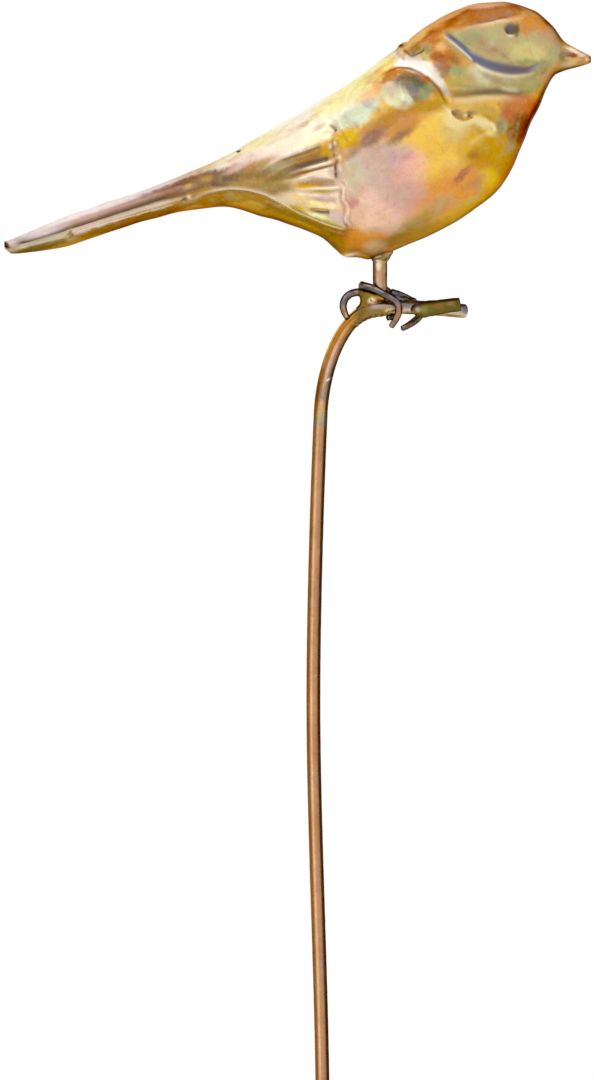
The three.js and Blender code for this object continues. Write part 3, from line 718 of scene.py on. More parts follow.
# finer marks keep close to their place
FINE_MARKS = [
    ("tail_tip", (14, 246), (7, 2.6), -14, 0.7, 0.7, "C09A72"),
    ("tail_under", (133, 220.8), (62, 4.2), -16.3, 0.3, 1.0, "A87C20"),
    ("fold_brown", (128, 208.8), (58, 3), -17.6, 0.6, 0.85, "8A6040"),
    ("vent_pale", (190, 201), (10, 2.2), -20, 0.7, 0.8, "D0B282"),
    ("tail_under_end", (42, 246.5), (32, 3.2), -14, 0.5, 0.9, "8C7A34"),
    ("tail_step", (71, 238.3), (5, 2.6), -10, 0.6, 0.85, "D0AC86"),
    ("tail_umber", (187, 186), (30, 7.6), -21, 0.45, 0.95, "84624A"),
    ("tail_umber_red", (168, 190), (10, 3.5), -20, 0.8, 0.6, "9A6650"),
    ("tail_gold_low", (188, 186.8), (5, 2.2), -18, 0.7, 0.85, "BC9C5C"),
    ("tail_gold_high", (207, 179.5), (6, 3.4), -14, 0.8, 0.85, "B08E4A"),
    # painted shade where the pleats close like a fan
    ("fan_shade", (278, 188.5), (20, 7), -8, 0.7, 0.95, "92723C"),
    ("vent_gold", (262, 199.8), (16, 4.6), 20, 0.4, 1.0, "B68218"),
    ("breast_sun", (470, 143), (12, 8), -30, 0.9, 0.7, "E8B41A"),
    ("crown_amber", (470, 19), (12, 5), -20, 0.7, 0.8, "B06A10"),
    ("back_dark", (263, 162.5), (13, 3.4), -24, 0.7, 0.95, "BC8E56"),
    ("back_sun", (342, 96.5), (19, 4.5), -34, 0.7, 0.85, "FFFAC2"),
    ("back_glow", (300, 121), (13, 4), -34, 0.7, 0.8, "FFFCEC"),
    ("back_butter", (313, 140), (9, 3.5), -26, 0.8, 0.6, "F8E6A4"),
    ("back_blush", (284, 149.5), (13, 3.8), -26, 0.8, 0.75, "F0CEB4"),
    ("mantle_peach", (367, 95.5), (12, 5), -36, 0.8, 0.75, "EAB67C"),
    ("mantle_gold", (380, 74), (8, 4), -38, 0.8, 0.75, "FAC668"),
    ("nape_pale", (397, 54.5), (5, 4), -30, 0.7, 0.85, "F8EEDA"),
    ("nape_lemon", (388.5, 64), (7, 4), -36, 0.8, 0.75, "FFF284"),
    # rim marks: painted highlights along the outline of nape, crown and brow
    ("rim_nape", (417, 35), (22, 2.6), -32, 0.5, 0.75, "F4D2A4"),
    ("rim_crown", (452, 14), (24, 3), -26, 0.5, 0.75, "F0C498"),
    ("rim_top", (487, 5), (30, 3), -5, 0.6, 0.85, "ECC2A0"),
    ("rim_brow", (531, 12), (13, 2.6), 30, 0.7, 0.8, "E0B48C"),
    ("cap_peach", (437, 23.5), (8, 3.5), -32, 0.8, 0.75, "F0BE90"),
    # painted shade along the brow
    ("crown_shade", (474, 25), (10, 3), -14, 0.8, 0.8, "A8641C"),
    ("lobe_shadow", (455, 62), (5, 3.6), 30, 0.8, 0.8, "8A6434"),
    ("collar_slate", (444, 74), (4.5, 5), 0, 0.8, 0.8, "8A7A5A"),
    ("cap_glow", (414, 42), (14, 3), -37, 0.7, 0.7, "F0CC90"),
    ("panel_shadow", (401, 84.5), (6, 4.5), 30, 0.7, 0.95, "7A6E54"),
    ("cheek_speck_high", (494, 51), (3, 2), 20, 0.8, 0.5, "96744E"),
    ("cheek_speck_low", (504, 57), (4, 2), 30, 0.8, 0.5, "9A7C58"),
    ("cheek_speck_back", (481, 44), (3, 2.4), 0, 0.8, 0.45, "A08860"),
    ("cheek_pale", (491, 43.5), (4, 4), 0, 0.8, 0.5, "C6C69C"),
    ("flank_plum", (352, 154), (9, 3.6), -40, 0.8, 0.7, "A87C54"),
    ("flank_orchid", (407, 157), (6, 3), -30, 0.9, 0.5, "C08A94"),
    ("breast_edge", (488, 118.5), (7, 2.4), 30, 0.7, 0.85, "B89028"),
    ("hump_lemon", (490, 133), (6, 4), 20, 0.8, 0.8, "F2DA78"),
    ("hump_shadow", (499, 127.5), (3.4, 6), 10, 0.7, 0.75, "8A7440"),
    ("belly_glint", (375, 247), (10, 6), -5, 0.7, 0.95, "FFDAA6"),
    ("throat_olive", (541, 71.5), (8, 3.5), -30, 0.7, 0.8, "86803E"),
    ("nape_olive", (428, 50), (4, 4), 0, 0.7, 0.8, "94803E"),
    ("panel_dim", (400, 91), (4, 5), 20, 0.8, 0.6, "B4AE84"),
    ("pleat_shine", (292, 154.6), (17, 2.6), -20, 0.6, 0.9, "F6DED2"),
    ("pleat_band", (300, 160.5), (34, 6), -19, 0.35, 1.0, "A07A3A"),
    ("pleat_band_end", (270, 177), (20, 7.5), -14, 0.5, 1.0, "8E7030"),
    ("pleat_band_gold", (327, 153.5), (6, 7), -10, 0.6, 0.95, "CE9E0E"),
    ("pleat_band_grey", (280, 167), (14, 3), -20, 0.7, 0.8, "ACA482"),
    ("pleat_slate", (311, 164), (20, 2.6), -17, 0.6, 0.85, "575248"),
    ("pleat_gold", (299, 175), (12, 3), -18, 0.6, 0.9, "BC8212"),
    ("pleat_lilac", (320, 175), (15, 4.5), -12, 0.6, 0.9, "DCC6B4"),
    ("pleat_amber", (307, 186.2), (13, 3.4), 0, 0.5, 1.0, "D09810"),
    ("pleat_umber", (327, 185.5), (9, 2.6), 0, 0.7, 0.85, "B2947A"),
    ("pleat_lilac_low", (327, 198), (14, 4.5), 4, 0.7, 0.9, "E4C8B6"),
    ("pleat_peach", (299, 198.5), (14, 4), 8, 0.8, 0.9, "FFDE9C"),
    ("pleat_butter", (318, 206), (16, 3.4), 10, 0.7, 0.9, "FFE48C"),
    ("pleat_yellow", (300, 208.5), (9, 3), 14, 0.7, 0.9, "EFCB3C"),
    ("pleat_line", (311, 171), (27, 2), -16, 0.6, 0.95, "9E7014"),
    ("pleat_lemon", (322, 192.3), (9, 1.8), -4, 0.6, 0.95, "F2D462"),
    ("pleat_olive", (282, 179), (20, 5), -16, 0.8, 0.7, "9A7C40"),
    ("pleat_pink", (338, 219), (10, 6), 20, 0.7, 0.9, "EACCC8"),
    ("vent_glow", (320, 218), (14, 3.4), 22, 0.6, 1.0, "FFFAB8"),
    ("vent_glow_low", (331, 224), (8, 2.4), 24, 0.7, 0.8, "D2C266"),
    ("tail_mauve_line", (112, 209.5), (62, 3), -18, 0.7, 0.8, "B48C82"),
    ("tail_hook", (5.5, 245), (4.5, 2.6), 32, 0.5, 0.9, "463818"),
    ("root_dark", (226, 181), (13, 4.5), -14, 0.6, 0.8, "6E5434"),
    ("root_copper", (230, 186), (13, 3.2), -5, 0.8, 0.8, "94642A"),
    ("rump_gold", (260, 167), (8, 3), -22, 0.8, 0.8, "A06A18"),
    ("covert_pale", (327, 137), (5, 3.5), -20, 0.8, 0.8, "FFF8CC"),
    ("covert_gold", (354, 146), (6, 3), -30, 0.8, 0.75, "C4920C"),
    ("pleat_copper", (319, 185), (6, 3), 0, 0.8, 0.8, "B87A26"),
    ("vent_sun", (294, 209), (6, 2.6), 24, 0.8, 0.85, "DCA406"),
    # painted shade where the pleats close into the tail root
    ("root_shade_olive", (262, 184.5), (17, 4.5), -8, 0.6, 0.75, "86703C"),
    ("root_pink", (238, 167.5), (13, 3), -26, 0.7, 0.7, "DCBAAA"),
    # painted shade along the front outline
    ("throat_edge_shade", (536, 107), (2.6, 26), 26.6, 0.7, 0.75, "7C5426"),
    ("vent_yellow", (297, 211.5), (10, 3), 22, 0.7, 0.9, "DCB81C"),
    ("notch_olive", (319, 128), (8, 2.4), -28, 0.8, 0.7, "BCB070"),
    # painted shade where the pleats close into the tail root
    ("root_shade", (252, 178), (20, 9), -20, 0.6, 0.9, "98783E"),
    ("neck_shadow", (488, 92.5), (38, 3.0), 0, 0.6, 0.75, "8A8058"),
    ("beak_root", (562.5, 56.5), (3.5, 4), 0, 0.8, 0.8, "7C7448"),
    # painted highlight along the beak's top
    ("beak_top", (573, 50.5), (9, 2.0), 24, 0.6, 0.95, "FBE6D4"),
    ("beak_orange", (574, 59.5), (7, 2.4), 5, 0.7, 0.9, "E6A866"),
    ("beak_low", (570, 63.5), (12, 2.2), -10, 0.6, 0.9, "DCC48C"),
    ("gape", (570, 55), (6, 2.2), 10, 0.6, 0.9, "7A5848"),
    ("gape_brown", (574.5, 56), (4, 1.6), -5, 0.7, 0.9, "965A14"),
    # painted highlight
    ("beak_pink", (582, 55.8), (4, 1.8), -20, 0.7, 0.9, "F6D2BC"),
    ("beak_gold", (581.5, 61.5), (5, 1.6), -14, 0.7, 0.9, "C8942A"),
    ("beak_under", (571, 68), (13, 1.6), -14, 0.6, 0.8, "6E6424"),
    ("beak_tip", (590.5, 60), (2.6, 4), 0, 0.5, 0.85, "5A4420"),
    ("beak_tip_light", (587, 59.8), (2.2, 1.6), 0, 0.7, 0.9, "E8CCA4"),
]
# pale metal and painted highlights, laid over the drift: nape groove, rims of back and mantle, tail
PALE_AND_HIGHLIGHT_MARKS = [
    ("nape_highlight", (416, 66.5), (17, 6), 18, 0.6, 0.95, "FFF8EC"),
    ("nape_highlight_low", (434, 79), (11, 3), 48, 0.6, 0.7, "F6ECDE"),
    ("back_pale_highlight", (290, 142.5), (26, 5.5), -28, 0.8, 0.5, "FAEDD2"),
    ("back_rim", (300, 113.5), (44, 3.2), -29.8, 0.7, 0.8, "FFFDF0"),
    ("mantle_rim", (366, 72.5), (32, 3), -35, 0.7, 0.7, "FFFBD8"),
    ("tail_pale_highlight", (88, 211), (54, 3.6), -18.5, 0.8, 0.6, "FFF4F0"),
    ("strip_pale", (148, 209), (36, 2.6), -17.5, 0.5, 0.85, "ECCEBA"),
    ("strip_pale_end", (84, 227.2), (44, 1.6), -17, 0.6, 0.8, "E4CAAC"),
]
CREASE_BLUES = [
    ("crease_plum", (518, 71), (20, 6), 0, 0.6, 0.9, "64566E"),
    ("crease_grey", (541, 67), (9, 6), -20, 0.7, 0.9, "8C9A90"),
]
print("marks:", len(FLAME_MARKS), "wide,", len(FINE_MARKS), "fine and", len(PALE_AND_HIGHLIGHT_MARKS), "bare")


# %% Flamed copper
SWAYS = [(80.0, 9.0), (260.0, 8.0), (720.0, 4.0)]  # scale of a noise, pixels by which it shifts wide marks
FINE_SWAY = 2.0  # pixels by which each noise shifts the finer marks
WIDE_SOFTNESS = 0.75
BELLY_DULL = dict(Centre=(398, 0, 238), Reach=(70, 1, 15), Turn=math.radians(-16), Edge=0.6)


def surface_mask(tree, name):
    node = tree.nodes.new("ShaderNodeAttribute")
    node.attribute_name = name
    return node.outputs["Fac"]


def photo_place(tree, place):
    """The place on the metal in photograph pixels, across and down."""
    per_metre = 1 / (MM_PER_PX * MM)
    origin = (PLUMB_PX, 0, CROWN_PX + CROWN_MM / MM_PER_PX)
    return vector_node(tree, "MULTIPLY_ADD", place, (per_metre, 0, -per_metre), origin)


def painted(tree, where, colour, marks, softness=1.0):
    """The colour with each mark mixed in; the mark's node is labelled with its name."""
    for name, (x, y), (wide, tall), slope, edge, strength, shade in marks:
        mask = use_group(tree, FLAME_MARK, Place=where, Centre=(x, 0, y), Reach=(wide, 1, tall),
                         Turn=math.radians(slope), Edge=softness * edge, Strength=strength)["Mask"]
        mask.node.label = name
        colour = mix_colour(tree, mask, colour, tone(shade))
    return colour


def flamed_copper(name, drift_shift):
    material, tree, shader, place = metal(name)
    shifted = vector_node(tree, "ADD", place, (drift_shift, 0, 0))
    moved = nearly = photo_place(tree, place)
    for scale, reach in SWAYS:
        sway = noise(tree, shifted, scale, 3.0, 0.55, "Color")
        sway = vector_node(tree, "SUBTRACT", sway, (0.5, 0.5, 0.5))
        moved = vector_node(tree, "ADD", moved, vector_node(tree, "MULTIPLY", sway, (reach, 0, reach)))
        little = vector_node(tree, "MULTIPLY", sway, (FINE_SWAY, 0, FINE_SWAY))
        nearly = vector_node(tree, "ADD", nearly, little)
    colour = painted(tree, moved, tone("D9A650"), FLAME_MARKS, WIDE_SOFTNESS)
    colour = painted(tree, nearly, colour, FINE_MARKS)
    colour = drifted(tree, shifted, colour, "C88A4A", "C2C690", "C89A92", 0.22)
    # pale metal and painted highlights, over the drift
    colour = painted(tree, nearly, colour, PALE_AND_HIGHLIGHT_MARKS)
    # painted shade in creases, grooves and hollows, and along the seam
    colour = mix_colour(tree, surface_mask(tree, "crease_shade"), colour, tone("5E4426"))
    crease_blue = painted(tree, nearly, tone("5C6488"), CREASE_BLUES)
    colour = mix_colour(tree, surface_mask(tree, "blue"), colour, crease_blue)
    # painted highlights on lips, ridges and glints
    colour = mix_colour(tree, surface_mask(tree, "lip_highlight"), colour, tone("FFF2D2"))
    dulled = use_group(tree, FLAME_MARK, Place=moved, **BELLY_DULL)["Mask"]
    smooth = span(tree, dulled, 0, 1, 0.2, 0.42)
    rough = span(tree, dulled, 0, 1, 0.34, 0.6)
    finish_metal(tree, shader, place, colour, smooth, rough, 1400.0, 0.00014)
    return material


near_copper = flamed_copper("flamed_copper_right", 0.0)
far_copper = flamed_copper("flamed_copper_left", 0.37)
print("flamed copper nodes:", len(near_copper.node_tree.nodes))

# %% [markdown]
# ## Rod, toes, braze and solder
# The rod is taken as copper-plated steel: plain copper brown below, and grey, gold and rose in short
# bands around the bend and the foot. Highlight and shade are painted across the bend, the perch and the
# straight rod; the leg's two flanks are painted brown as shade, and the toes are darkest, with painted
# shade along their edges. Which way a point faces, in the piece's own frame, says which colour it gets,
# so the painted light and shade stay on the metal from wherever it is seen.


# %% Copper-plated rod
BAND_LOW_PX, BAND_HIGH_PX = 440, 240  # photo rows between which the heat bands lie
BAND_WAVE = 0.005  # how far the bands waver, in metres
BEND_START, BEND_FULL = 0.462, 0.482  # heights between which the bend takes its own painted highlight and shade
BEND_GOLD, BEND_BROWN = 0.494, 0.484  # the outside of the bend turns from gold to painted brown shade between these heights
PLUMB_END, PLUMB_FULL = 0.478, 0.456  # the tides, and the painted highlight and shade on the straight rod, set in below these
ROD_BANDS = [
    # photo row, colour
    (428, "C09068"), (424, "A59A82"), (416, "B4AC84"), (411, "D2AE6C"), (404, "E2AC86"), (396, "A8A090"),
    (382, "C2AE96"), (368, "DCB89E"), (350, "ECBE9A"), (335, "DCA05C"), (322, "C88A2E"), (312, "A88438"),
    (304, "B0A08E"), (296, "A89A94"), (285, "C4A48C"), (265, "D4AE84"),
]
# across the perch, by row: its lavender tint, a painted cream highlight and painted shade along its top and
# bottom
PERCH_TINT_AND_SHADING = [
    (314, "8A7444"), (312, "C0A878"), (309.5, "DCCAA4"), (306.5, "8A7E8C"), (302, "6A6270"), (299, "3E3A34"),
]
# painted highlight and shade by how far a point faces out of the bend or to the left: from, to, amount,
# colour
BEND_HIGHLIGHT_AND_SHADE = [
    (0.1, 0.26, 0.8, "8E561A"), (0.3, 0.46, 0.9, "C07C1C"), (0.72, 0.84, 0.85, "ECB84C"),
    (-0.1, -0.36, 0.75, "86683E"), (-0.5, -0.78, 0.85, "563C14"),
]
# painted shade on the straight rod's right flank
ROD_FLANK_SHADE = [(-0.1, -0.5, 0.55, "9A6844"), (-0.5, -0.84, 0.85, "7E5A30")]
ROD_TIDES = [(0.52, 0.6, 0.6, "A8948A"), (0.46, 0.38, 0.5, "D88E66")]
FOOT_MARKS = [
    ("bend_olive", (361, 312), (9, 4.5), -42, 0.6, 0.85, "6E5818"),
    ("web_gold", (366, 301), (5, 6), 0, 0.7, 0.8, "86681C"),
    ("web_dark", (360.5, 295), (3.5, 4), 0, 0.7, 0.7, "5A4814"),
    ("web_bright", (378, 298), (9, 1.8), 14, 0.6, 0.8, "BC8A2C"),
    # painted highlight
    ("web_highlight", (372, 301), (4, 3), 0, 0.6, 0.95, "FFEAC6"),
    # painted shade in the gap between toe and perch, red-brown
    ("web_gap_shade", (383.5, 301.5), (7, 1.5), 12, 0.5, 0.9, "5A2C12"),
    ("under_pink", (375.5, 306), (6, 2.6), 12, 0.6, 0.85, "B4A0A0"),
    ("under_olive", (374, 312.5), (11, 3), -8, 0.7, 0.8, "8E763A"),
    # painted highlight
    ("under_highlight", (389, 310.5), (4, 2), 0, 0.7, 0.8, "E6D4A2"),
    ("mass_dark", (404, 296.5), (16, 5), 18, 0.5, 0.9, "46423C"),
    ("mass_slate", (400, 298.5), (4, 2.2), 18, 0.7, 0.6, "867E92"),
    # painted highlight on the rod
    ("rod_glint", (328.5, 379.5), (3, 1.3), -30, 0.6, 0.9, "EEE2D0"),
]


def heat_and_shading_bands(tree, level, below, rows, above):
    """Colours by height, from (photo row, colour) pairs."""
    low, high = (frame_mm(0, row)[1] * MM + BAND_WAVE / 2 for row in (BAND_LOW_PX, BAND_HIGH_PX))
    share = span(tree, level, low, high, smooth=False)
    stops = [((BAND_LOW_PX - row) / (BAND_LOW_PX - BAND_HIGH_PX), shade) for row, shade in rows]
    return colour_ramp(tree, share, [(0, below), *stops, (1, above)])


def plated_rod():
    material, tree, shader, place = metal("copper_plated_rod")
    along, _, up = separate(tree, place)
    height = math_node(tree, "ADD", up, times(tree, noise(tree, place, 160.0, 3.0, 0.6), BAND_WAVE))
    colour = heat_and_shading_bands(tree, height, "C09068", ROD_BANDS, "C09658")
    outer = vector_node(tree, "DOT_PRODUCT", facing(tree), (-0.86, 0, 0.51))
    behind_leg = span(tree, along, (LEG_X - 3) * MM, (LEG_X - 9) * MM)
    bent = times(tree, span(tree, up, BEND_START, BEND_FULL), behind_leg)
    # painted highlight and shade across the bend
    colour = tinted(tree, colour, outer, BEND_HIGHLIGHT_AND_SHADE, bent)
    # a painted brown shade line on the outside of the bend
    brown = times(tree, span(tree, outer, 0.3, 0.46, 0.0, 0.8), span(tree, up, BEND_GOLD, BEND_BROWN))
    colour = mix_colour(tree, times(tree, brown, bent), colour, tone("8A5A18"))
    leftward = vector_node(tree, "DOT_PRODUCT", facing(tree), (-1, 0, 0))
    plumb = span(tree, up, PLUMB_END, PLUMB_FULL)
    colour = tinted(tree, colour, noise(tree, place, 17.0, 2.0, 0.6), ROD_TIDES, plumb)
    # a painted highlight left of the straight rod's middle, then painted shade on its right flank
    shine = times(tree, span(tree, leftward, 0.0, 0.22, 0.0, 0.6), span(tree, leftward, 0.6, 0.4))
    colour = mix_colour(tree, times(tree, shine, plumb), colour, tone("EAB486"))
    colour = tinted(tree, colour, leftward, ROD_FLANK_SHADE, plumb)
    droop = span(tree, along, (LEG_X + 12) * MM, (LEG_X + 28) * MM, 0.0, 0.0019)
    # the perch: its tint with painted highlight and shade across it
    perch = heat_and_shading_bands(tree, math_node(tree, "ADD", height, droop), "C8A888", PERCH_TINT_AND_SHADING, "3E3A34")
    beyond_leg = span(tree, along, (LEG_X + 2.6) * MM, (LEG_X + 5.5) * MM)
    colour = mix_colour(tree, beyond_leg, colour, perch)
    colour = painted(tree, photo_place(tree, place), colour, FOOT_MARKS)
    colour = drifted(tree, place, colour, "A8683C", "C8A67E", "B88A78", 0.22)
    finish_metal(tree, shader, place, colour, 0.2, 0.34, 2200.0, 0.00006)
    return material


# %% Heat-darkened wire with painted shade and highlight
TOE_MARKS = [
    ("toe_root", (366, 285), (9, 4.5), 18, 0.6, 0.85, "4C4632"),
    ("middle_toe", (400, 295), (18, 6), 26, 0.4, 0.75, "5C565C"),
    ("middle_tip", (411, 322), (13, 8), -40, 0.4, 0.75, "5A4A38"),
    ("far_tip", (388, 317), (5, 5), 0, 0.5, 0.8, "4C4E46"),
    ("hind_tip", (346, 318), (4, 4), 0, 0.7, 0.6, "C8A878"),
]


def dark_wire():
    """Side faces keep their tint, lavender over the perch and rosy below; the edges get painted shade and
    the faces turned up to the front a painted highlight.
    """
    material, tree, shader, place = metal("heat_darkened_wire_with_painted_shade")
    up = separate(tree, place)["Z"]
    over = span(tree, up, frame_mm(0, 311)[1] * MM, frame_mm(0, 299)[1] * MM)
    colour = mix_colour(tree, over, tone("B08A68"), tone("7E747C"))
    cloud = noise(tree, place, 330.0, 3.0, 0.6)
    colour = tinted(tree, colour, cloud, [(0.46, 0.6, 0.6, "6E5C3E")])
    colour = painted(tree, photo_place(tree, place), colour, TOE_MARKS)
    colour = drifted(tree, place, colour, "A8805C", "5A5648", "6A6272", 0.5)
    # painted shade round the edges, away from the faces turned to either side
    face = math_node(tree, "ABSOLUTE", separate(tree, facing(tree))["Y"])
    uneven = times(tree, math_node(tree, "SUBTRACT", cloud, 0.5), 0.9)
    ragged = math_node(tree, "ADD", face, uneven)
    colour = mix_colour(tree, span(tree, ragged, 1.0, 0.4), colour, tone("40382A"))
    # a painted highlight on faces turned up to the front
    toward = vector_node(tree, "DOT_PRODUCT", facing(tree), (-0.1, -0.86, 0.5))
    painted_highlight = times(tree, span(tree, toward, 0.9, 0.97, 0.0, 0.75), span(tree, cloud, 0.6, 0.45))
    bright = mix_colour(tree, over, tone("E6CCA8"), tone("BEB4C0"))
    colour = mix_colour(tree, painted_highlight, colour, bright)
    finish_metal(tree, shader, place, colour, 0.22, 0.4, 2600.0, 0.0002)
    return material


# %% Stained leg with painted shade
LEG_LOW_PX, LEG_HIGH_PX = 298, 250
LEG_BANDS = [
    (0, "8E8088"), (0.25, "C8A490"), (0.55, "D0A07C"), (0.75, "E0BC8A"), (0.86, "CDA666"), (1, "B08A36"),
]
# painted shade on the leg's two flanks, by how far a point faces along x: from, to, amount, colour
LEG_FLANK_SHADE = [(0.12, 0.34, 0.6, "946A40"), (0.6, 0.84, 0.9, "4A3418"), (-0.4, -0.75, 0.9, "5A4A18")]
LEG_MARKS = [
    ("leg_shine", (378.3, 264.5), (2.6, 5), 0, 0.7, 0.9, "FFF0D4"),
    # painted shadow under the collar
    ("collar_shadow", (379, 258.6), (8, 1.3), -8, 0.6, 0.85, "54401A"),
    ("collar_gold", (382, 251), (5, 4), 0, 0.7, 0.8, "96701E"),
    # collar_cream and collar_glint are painted highlights
    ("collar_cream", (375.5, 254.5), (2.4, 2), 0, 0.6, 0.95, "FFF0CC"),
    ("collar_glint", (387, 248.5), (2.2, 3), 30, 0.6, 0.9, "F4DA9C"),
    ("collar_dark", (383.5, 255.5), (2.6, 2.2), 0, 0.6, 0.85, "4A3812"),
    ("collar_dark_top", (379, 250), (2.2, 1.8), 0, 0.6, 0.7, "6A4C14"),
]


def leg_copper():
    """The leg's two flanks are painted brown and dark as shade; its front and back keep their rosy tint."""
    material, tree, shader, place = metal("stained_leg_with_painted_shade")
    low, high = (frame_mm(0, row)[1] * MM for row in (LEG_LOW_PX, LEG_HIGH_PX))
    rise = span(tree, separate(tree, place)["Z"], low, high, smooth=False)
    colour = painted(tree, photo_place(tree, place), colour_ramp(tree, rise, LEG_BANDS), LEG_MARKS)
    # painted shade on the flanks
    colour = tinted(tree, colour, separate(tree, facing(tree))["X"], LEG_FLANK_SHADE)
    colour = drifted(tree, place, colour, "A8683C", "A89C6E", "B88A78", 0.4)
    finish_metal(tree, shader, place, colour, 0.22, 0.38, 2200.0, 0.00015)
    return material


# %% Braze, twig and solder
TWIG_MARKS = [
    ("blend_slate", (414.5, 304), (5.5, 3.4), 0, 0.6, 0.9, "7E7480"),
    # the perch's painted cream highlight, carried onto the twig's butt
    ("blend_cream", (415, 310), (5.5, 3), 0, 0.6, 0.9, "C6B68A"),
    ("twig_green", (424, 310.5), (4, 3.4), -20, 0.7, 0.7, "8E8E46"),
    ("twig_rust", (439, 306), (4, 2.6), -10, 0.7, 0.7, "9C642A"),
    ("twig_pink", (450, 303.5), (3, 2.2), 0, 0.7, 0.7, "A07A5A"),
    ("twig_end", (457.5, 301), (2.4, 6), 0, 0.5, 0.7, "4C4A20"),
]


def flowed_metal(name, base, warm, cool, rose, smooth, rough, bump, drift_amount=0.6, marks=()):
    material, tree, shader, place = metal(name)
    patch = span(tree, noise(tree, place, 300.0, 3.0, 0.6), 0.4, 0.62)
    colour = mix_colour(tree, patch, tone(base), tone(warm))
    colour = drifted(tree, place, colour, warm, cool, rose, drift_amount)
    # painted shade on faces turned up, painted light on faces turned down
    colour = use_group(tree, PAINTED_TOP_SHADE, Normal=facing(tree), Colour=colour, Soot=tone(cool),
                       Bare=tone(rose), Amount=0.7)["Colour"]
    colour = painted(tree, photo_place(tree, place), colour, marks)
    finish_metal(tree, shader, place, colour, smooth, rough, 1800.0, bump)
    return material


rod_copper = plated_rod()
toe_metal = dark_wire()
leg_metal = leg_copper()
braze_gold = flowed_metal(
    "braze_gold", "8A6A20", "A8802E", "3E3618", "B08E5C", 0.22, 0.4, 0.0002, 0.5, FOOT_MARKS)
twig_olive = flowed_metal(
    "twig_olive", "6C6628", "8A642A", "2E3018", "76622E", 0.24, 0.44, 0.0004, 0.3, TWIG_MARKS)
solder_grey = flowed_metal("solder_grey", "9C968C", "B5AA98", "77746E", "A89C92", 0.3, 0.5, 0.0002)
print("metals:", [m.name for m in bpy.data.materials])

# %% [markdown]
# ## The bird's skin
# Each half is lofted from tail to beak: at every station the outline gives the back and the belly, a
# width and how round the section is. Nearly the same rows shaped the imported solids: a few are refined here
# by up to a millimetre, and the grid is fine enough to press the feathers into it.

# %% Outline rows
SEAT_Z = 523.98  # where the leg meets the belly, above the rod's lower end
SHEET_MM = 0.6
SEAM_GAP_MM = 0.3
# x from the leg's axis, back and belly above the seat, half width, roundness
OUTLINE = np.array([
    (-127.7, 5, 2.3, 6.0, 1.3), (-125.04, 5.6, 0.55, 7.1, 1.3), (-108.7, 12.9, 2.5, 8.3, 1.3),
    (-80.2, 22.3, 11.6, 9.5, 1.4), (-63.86, 28.8, 15.5, 10.5, 1.5), (-51.7, 34.4, 16.1, 12.1, 1.7),
    (-39.29, 41.7, 13.1, 16, 1.85), (-27.4, 48.8, 9.2, 20.5, 2), (-20.4, 52.4, 6.3, 22.3, 2.03),
    (-14.99, 55.6, 2.2, 23.7, 2.05), (-9.31, 59, -0.7, 25, 2.1), (0, 66.1, 0, 26.1, 2.15),
    (9.33, 72.6, 3.7, 26.5, 2.15), (20.53, 80.95, 8.5, 26.1, 2.15), (31.1, 85.2, 15.05, 24.5, 2.15),
    (40.74, 86.2, 23.05, 21.6, 2.15), (46.34, 85.45, 32.8, 18.8, 2.1), (50.38, 84, 43.4, 16.6, 2.05),
    (54.43, 82.1, 52, 13.2, 2), (58.47, 78.1, 60.4, 8.8, 1.9), (62.2, 73.1, 62.6, 5.2, 1.8),
    (66.57, 70.3, 63.9, 3.4, 1.8), (70.75, 68.25, 65.2, 1.8, 1.8), (71.7, 67.6, 65.7, 0.8, 1.8),
])


def ease(t):
    """Runs from 0 to 1 with a soft start and end."""
    t = np.clip(t, 0, 1)
    return t * t * (3 - 2 * t)


def smooth_column(x, column):
    """One column of the outline at any x, without a kink at the rows."""
    xs, vs = OUTLINE[:, 0], OUTLINE[:, column]
    index = np.arange(len(xs))
    near = np.clip(index - 1, 0, None)
    far = np.clip(index + 1, None, len(xs) - 1)
    slope = (vs[far] - vs[near]) / (xs[far] - xs[near])
    i = np.clip(np.searchsorted(xs, x, side="right") - 1, 0, len(xs) - 2)
    run = xs[i + 1] - xs[i]
    t = np.clip((x - xs[i]) / run, 0, 1)
    leave = t * (1 - t) ** 2 * slope[i] * run
    arrive = t * t * (1 - t) * slope[i + 1] * run
    return vs[i] + (vs[i + 1] - vs[i]) * ease(t) + leave - arrive


# %% Stations and base grid
STATIONS, TURNS = 540, 168
COARSE = 4  # the inner skin keeps every fourth row and column
TAIL_ROOT_MM = -58  # the plain tail behind it needs fewer stations
TAIL_SHARE = 0.65


def even_stations(count):
    x = np.linspace(OUTLINE[0, 0], OUTLINE[-1, 0], 3000)
    back, belly = smooth_column(x, 1), smooth_column(x, 2)
    run = np.diff(x)
    need = np.where(x[1:] < TAIL_ROOT_MM, TAIL_SHARE, 1.0)
    steps = need * (np.hypot(run, np.diff(back)) + np.hypot(run, np.diff(belly)))
    length = np.concatenate([[0], np.cumsum(steps)])
    return np.interp(np.linspace(0, length[-1], count + 1), length, x)


def base_grid(inset):
    x = even_stations(STATIONS)
    turn = np.linspace(0, math.pi, TURNS + 1)
    lean = [np.hypot(1, np.gradient(smooth_column(x, c), x)) for c in (1, 2, 3)]
    top, bottom, half = (smooth_column(x, c) for c in (1, 2, 3))
    tall = np.maximum((top - bottom) / 2 - inset * (lean[0] + lean[1]) / 2, 0.3 * (top - bottom) / 2)
    half = np.maximum(half - inset * lean[2], 0.3 * half)
    middle = (top + bottom) / 2
    power = (2 / smooth_column(x, 4))[:, None]
    up, out = np.cos(turn)[None], np.sin(turn)[None]
    z = middle[:, None] + tall[:, None] * np.sign(up) * np.abs(up) ** power
    y = half[:, None] * np.clip(out, 0, 1) ** power
    return np.stack([np.broadcast_to(x[:, None], z.shape) + LEG_X, y, z + SEAT_Z], axis=-1)


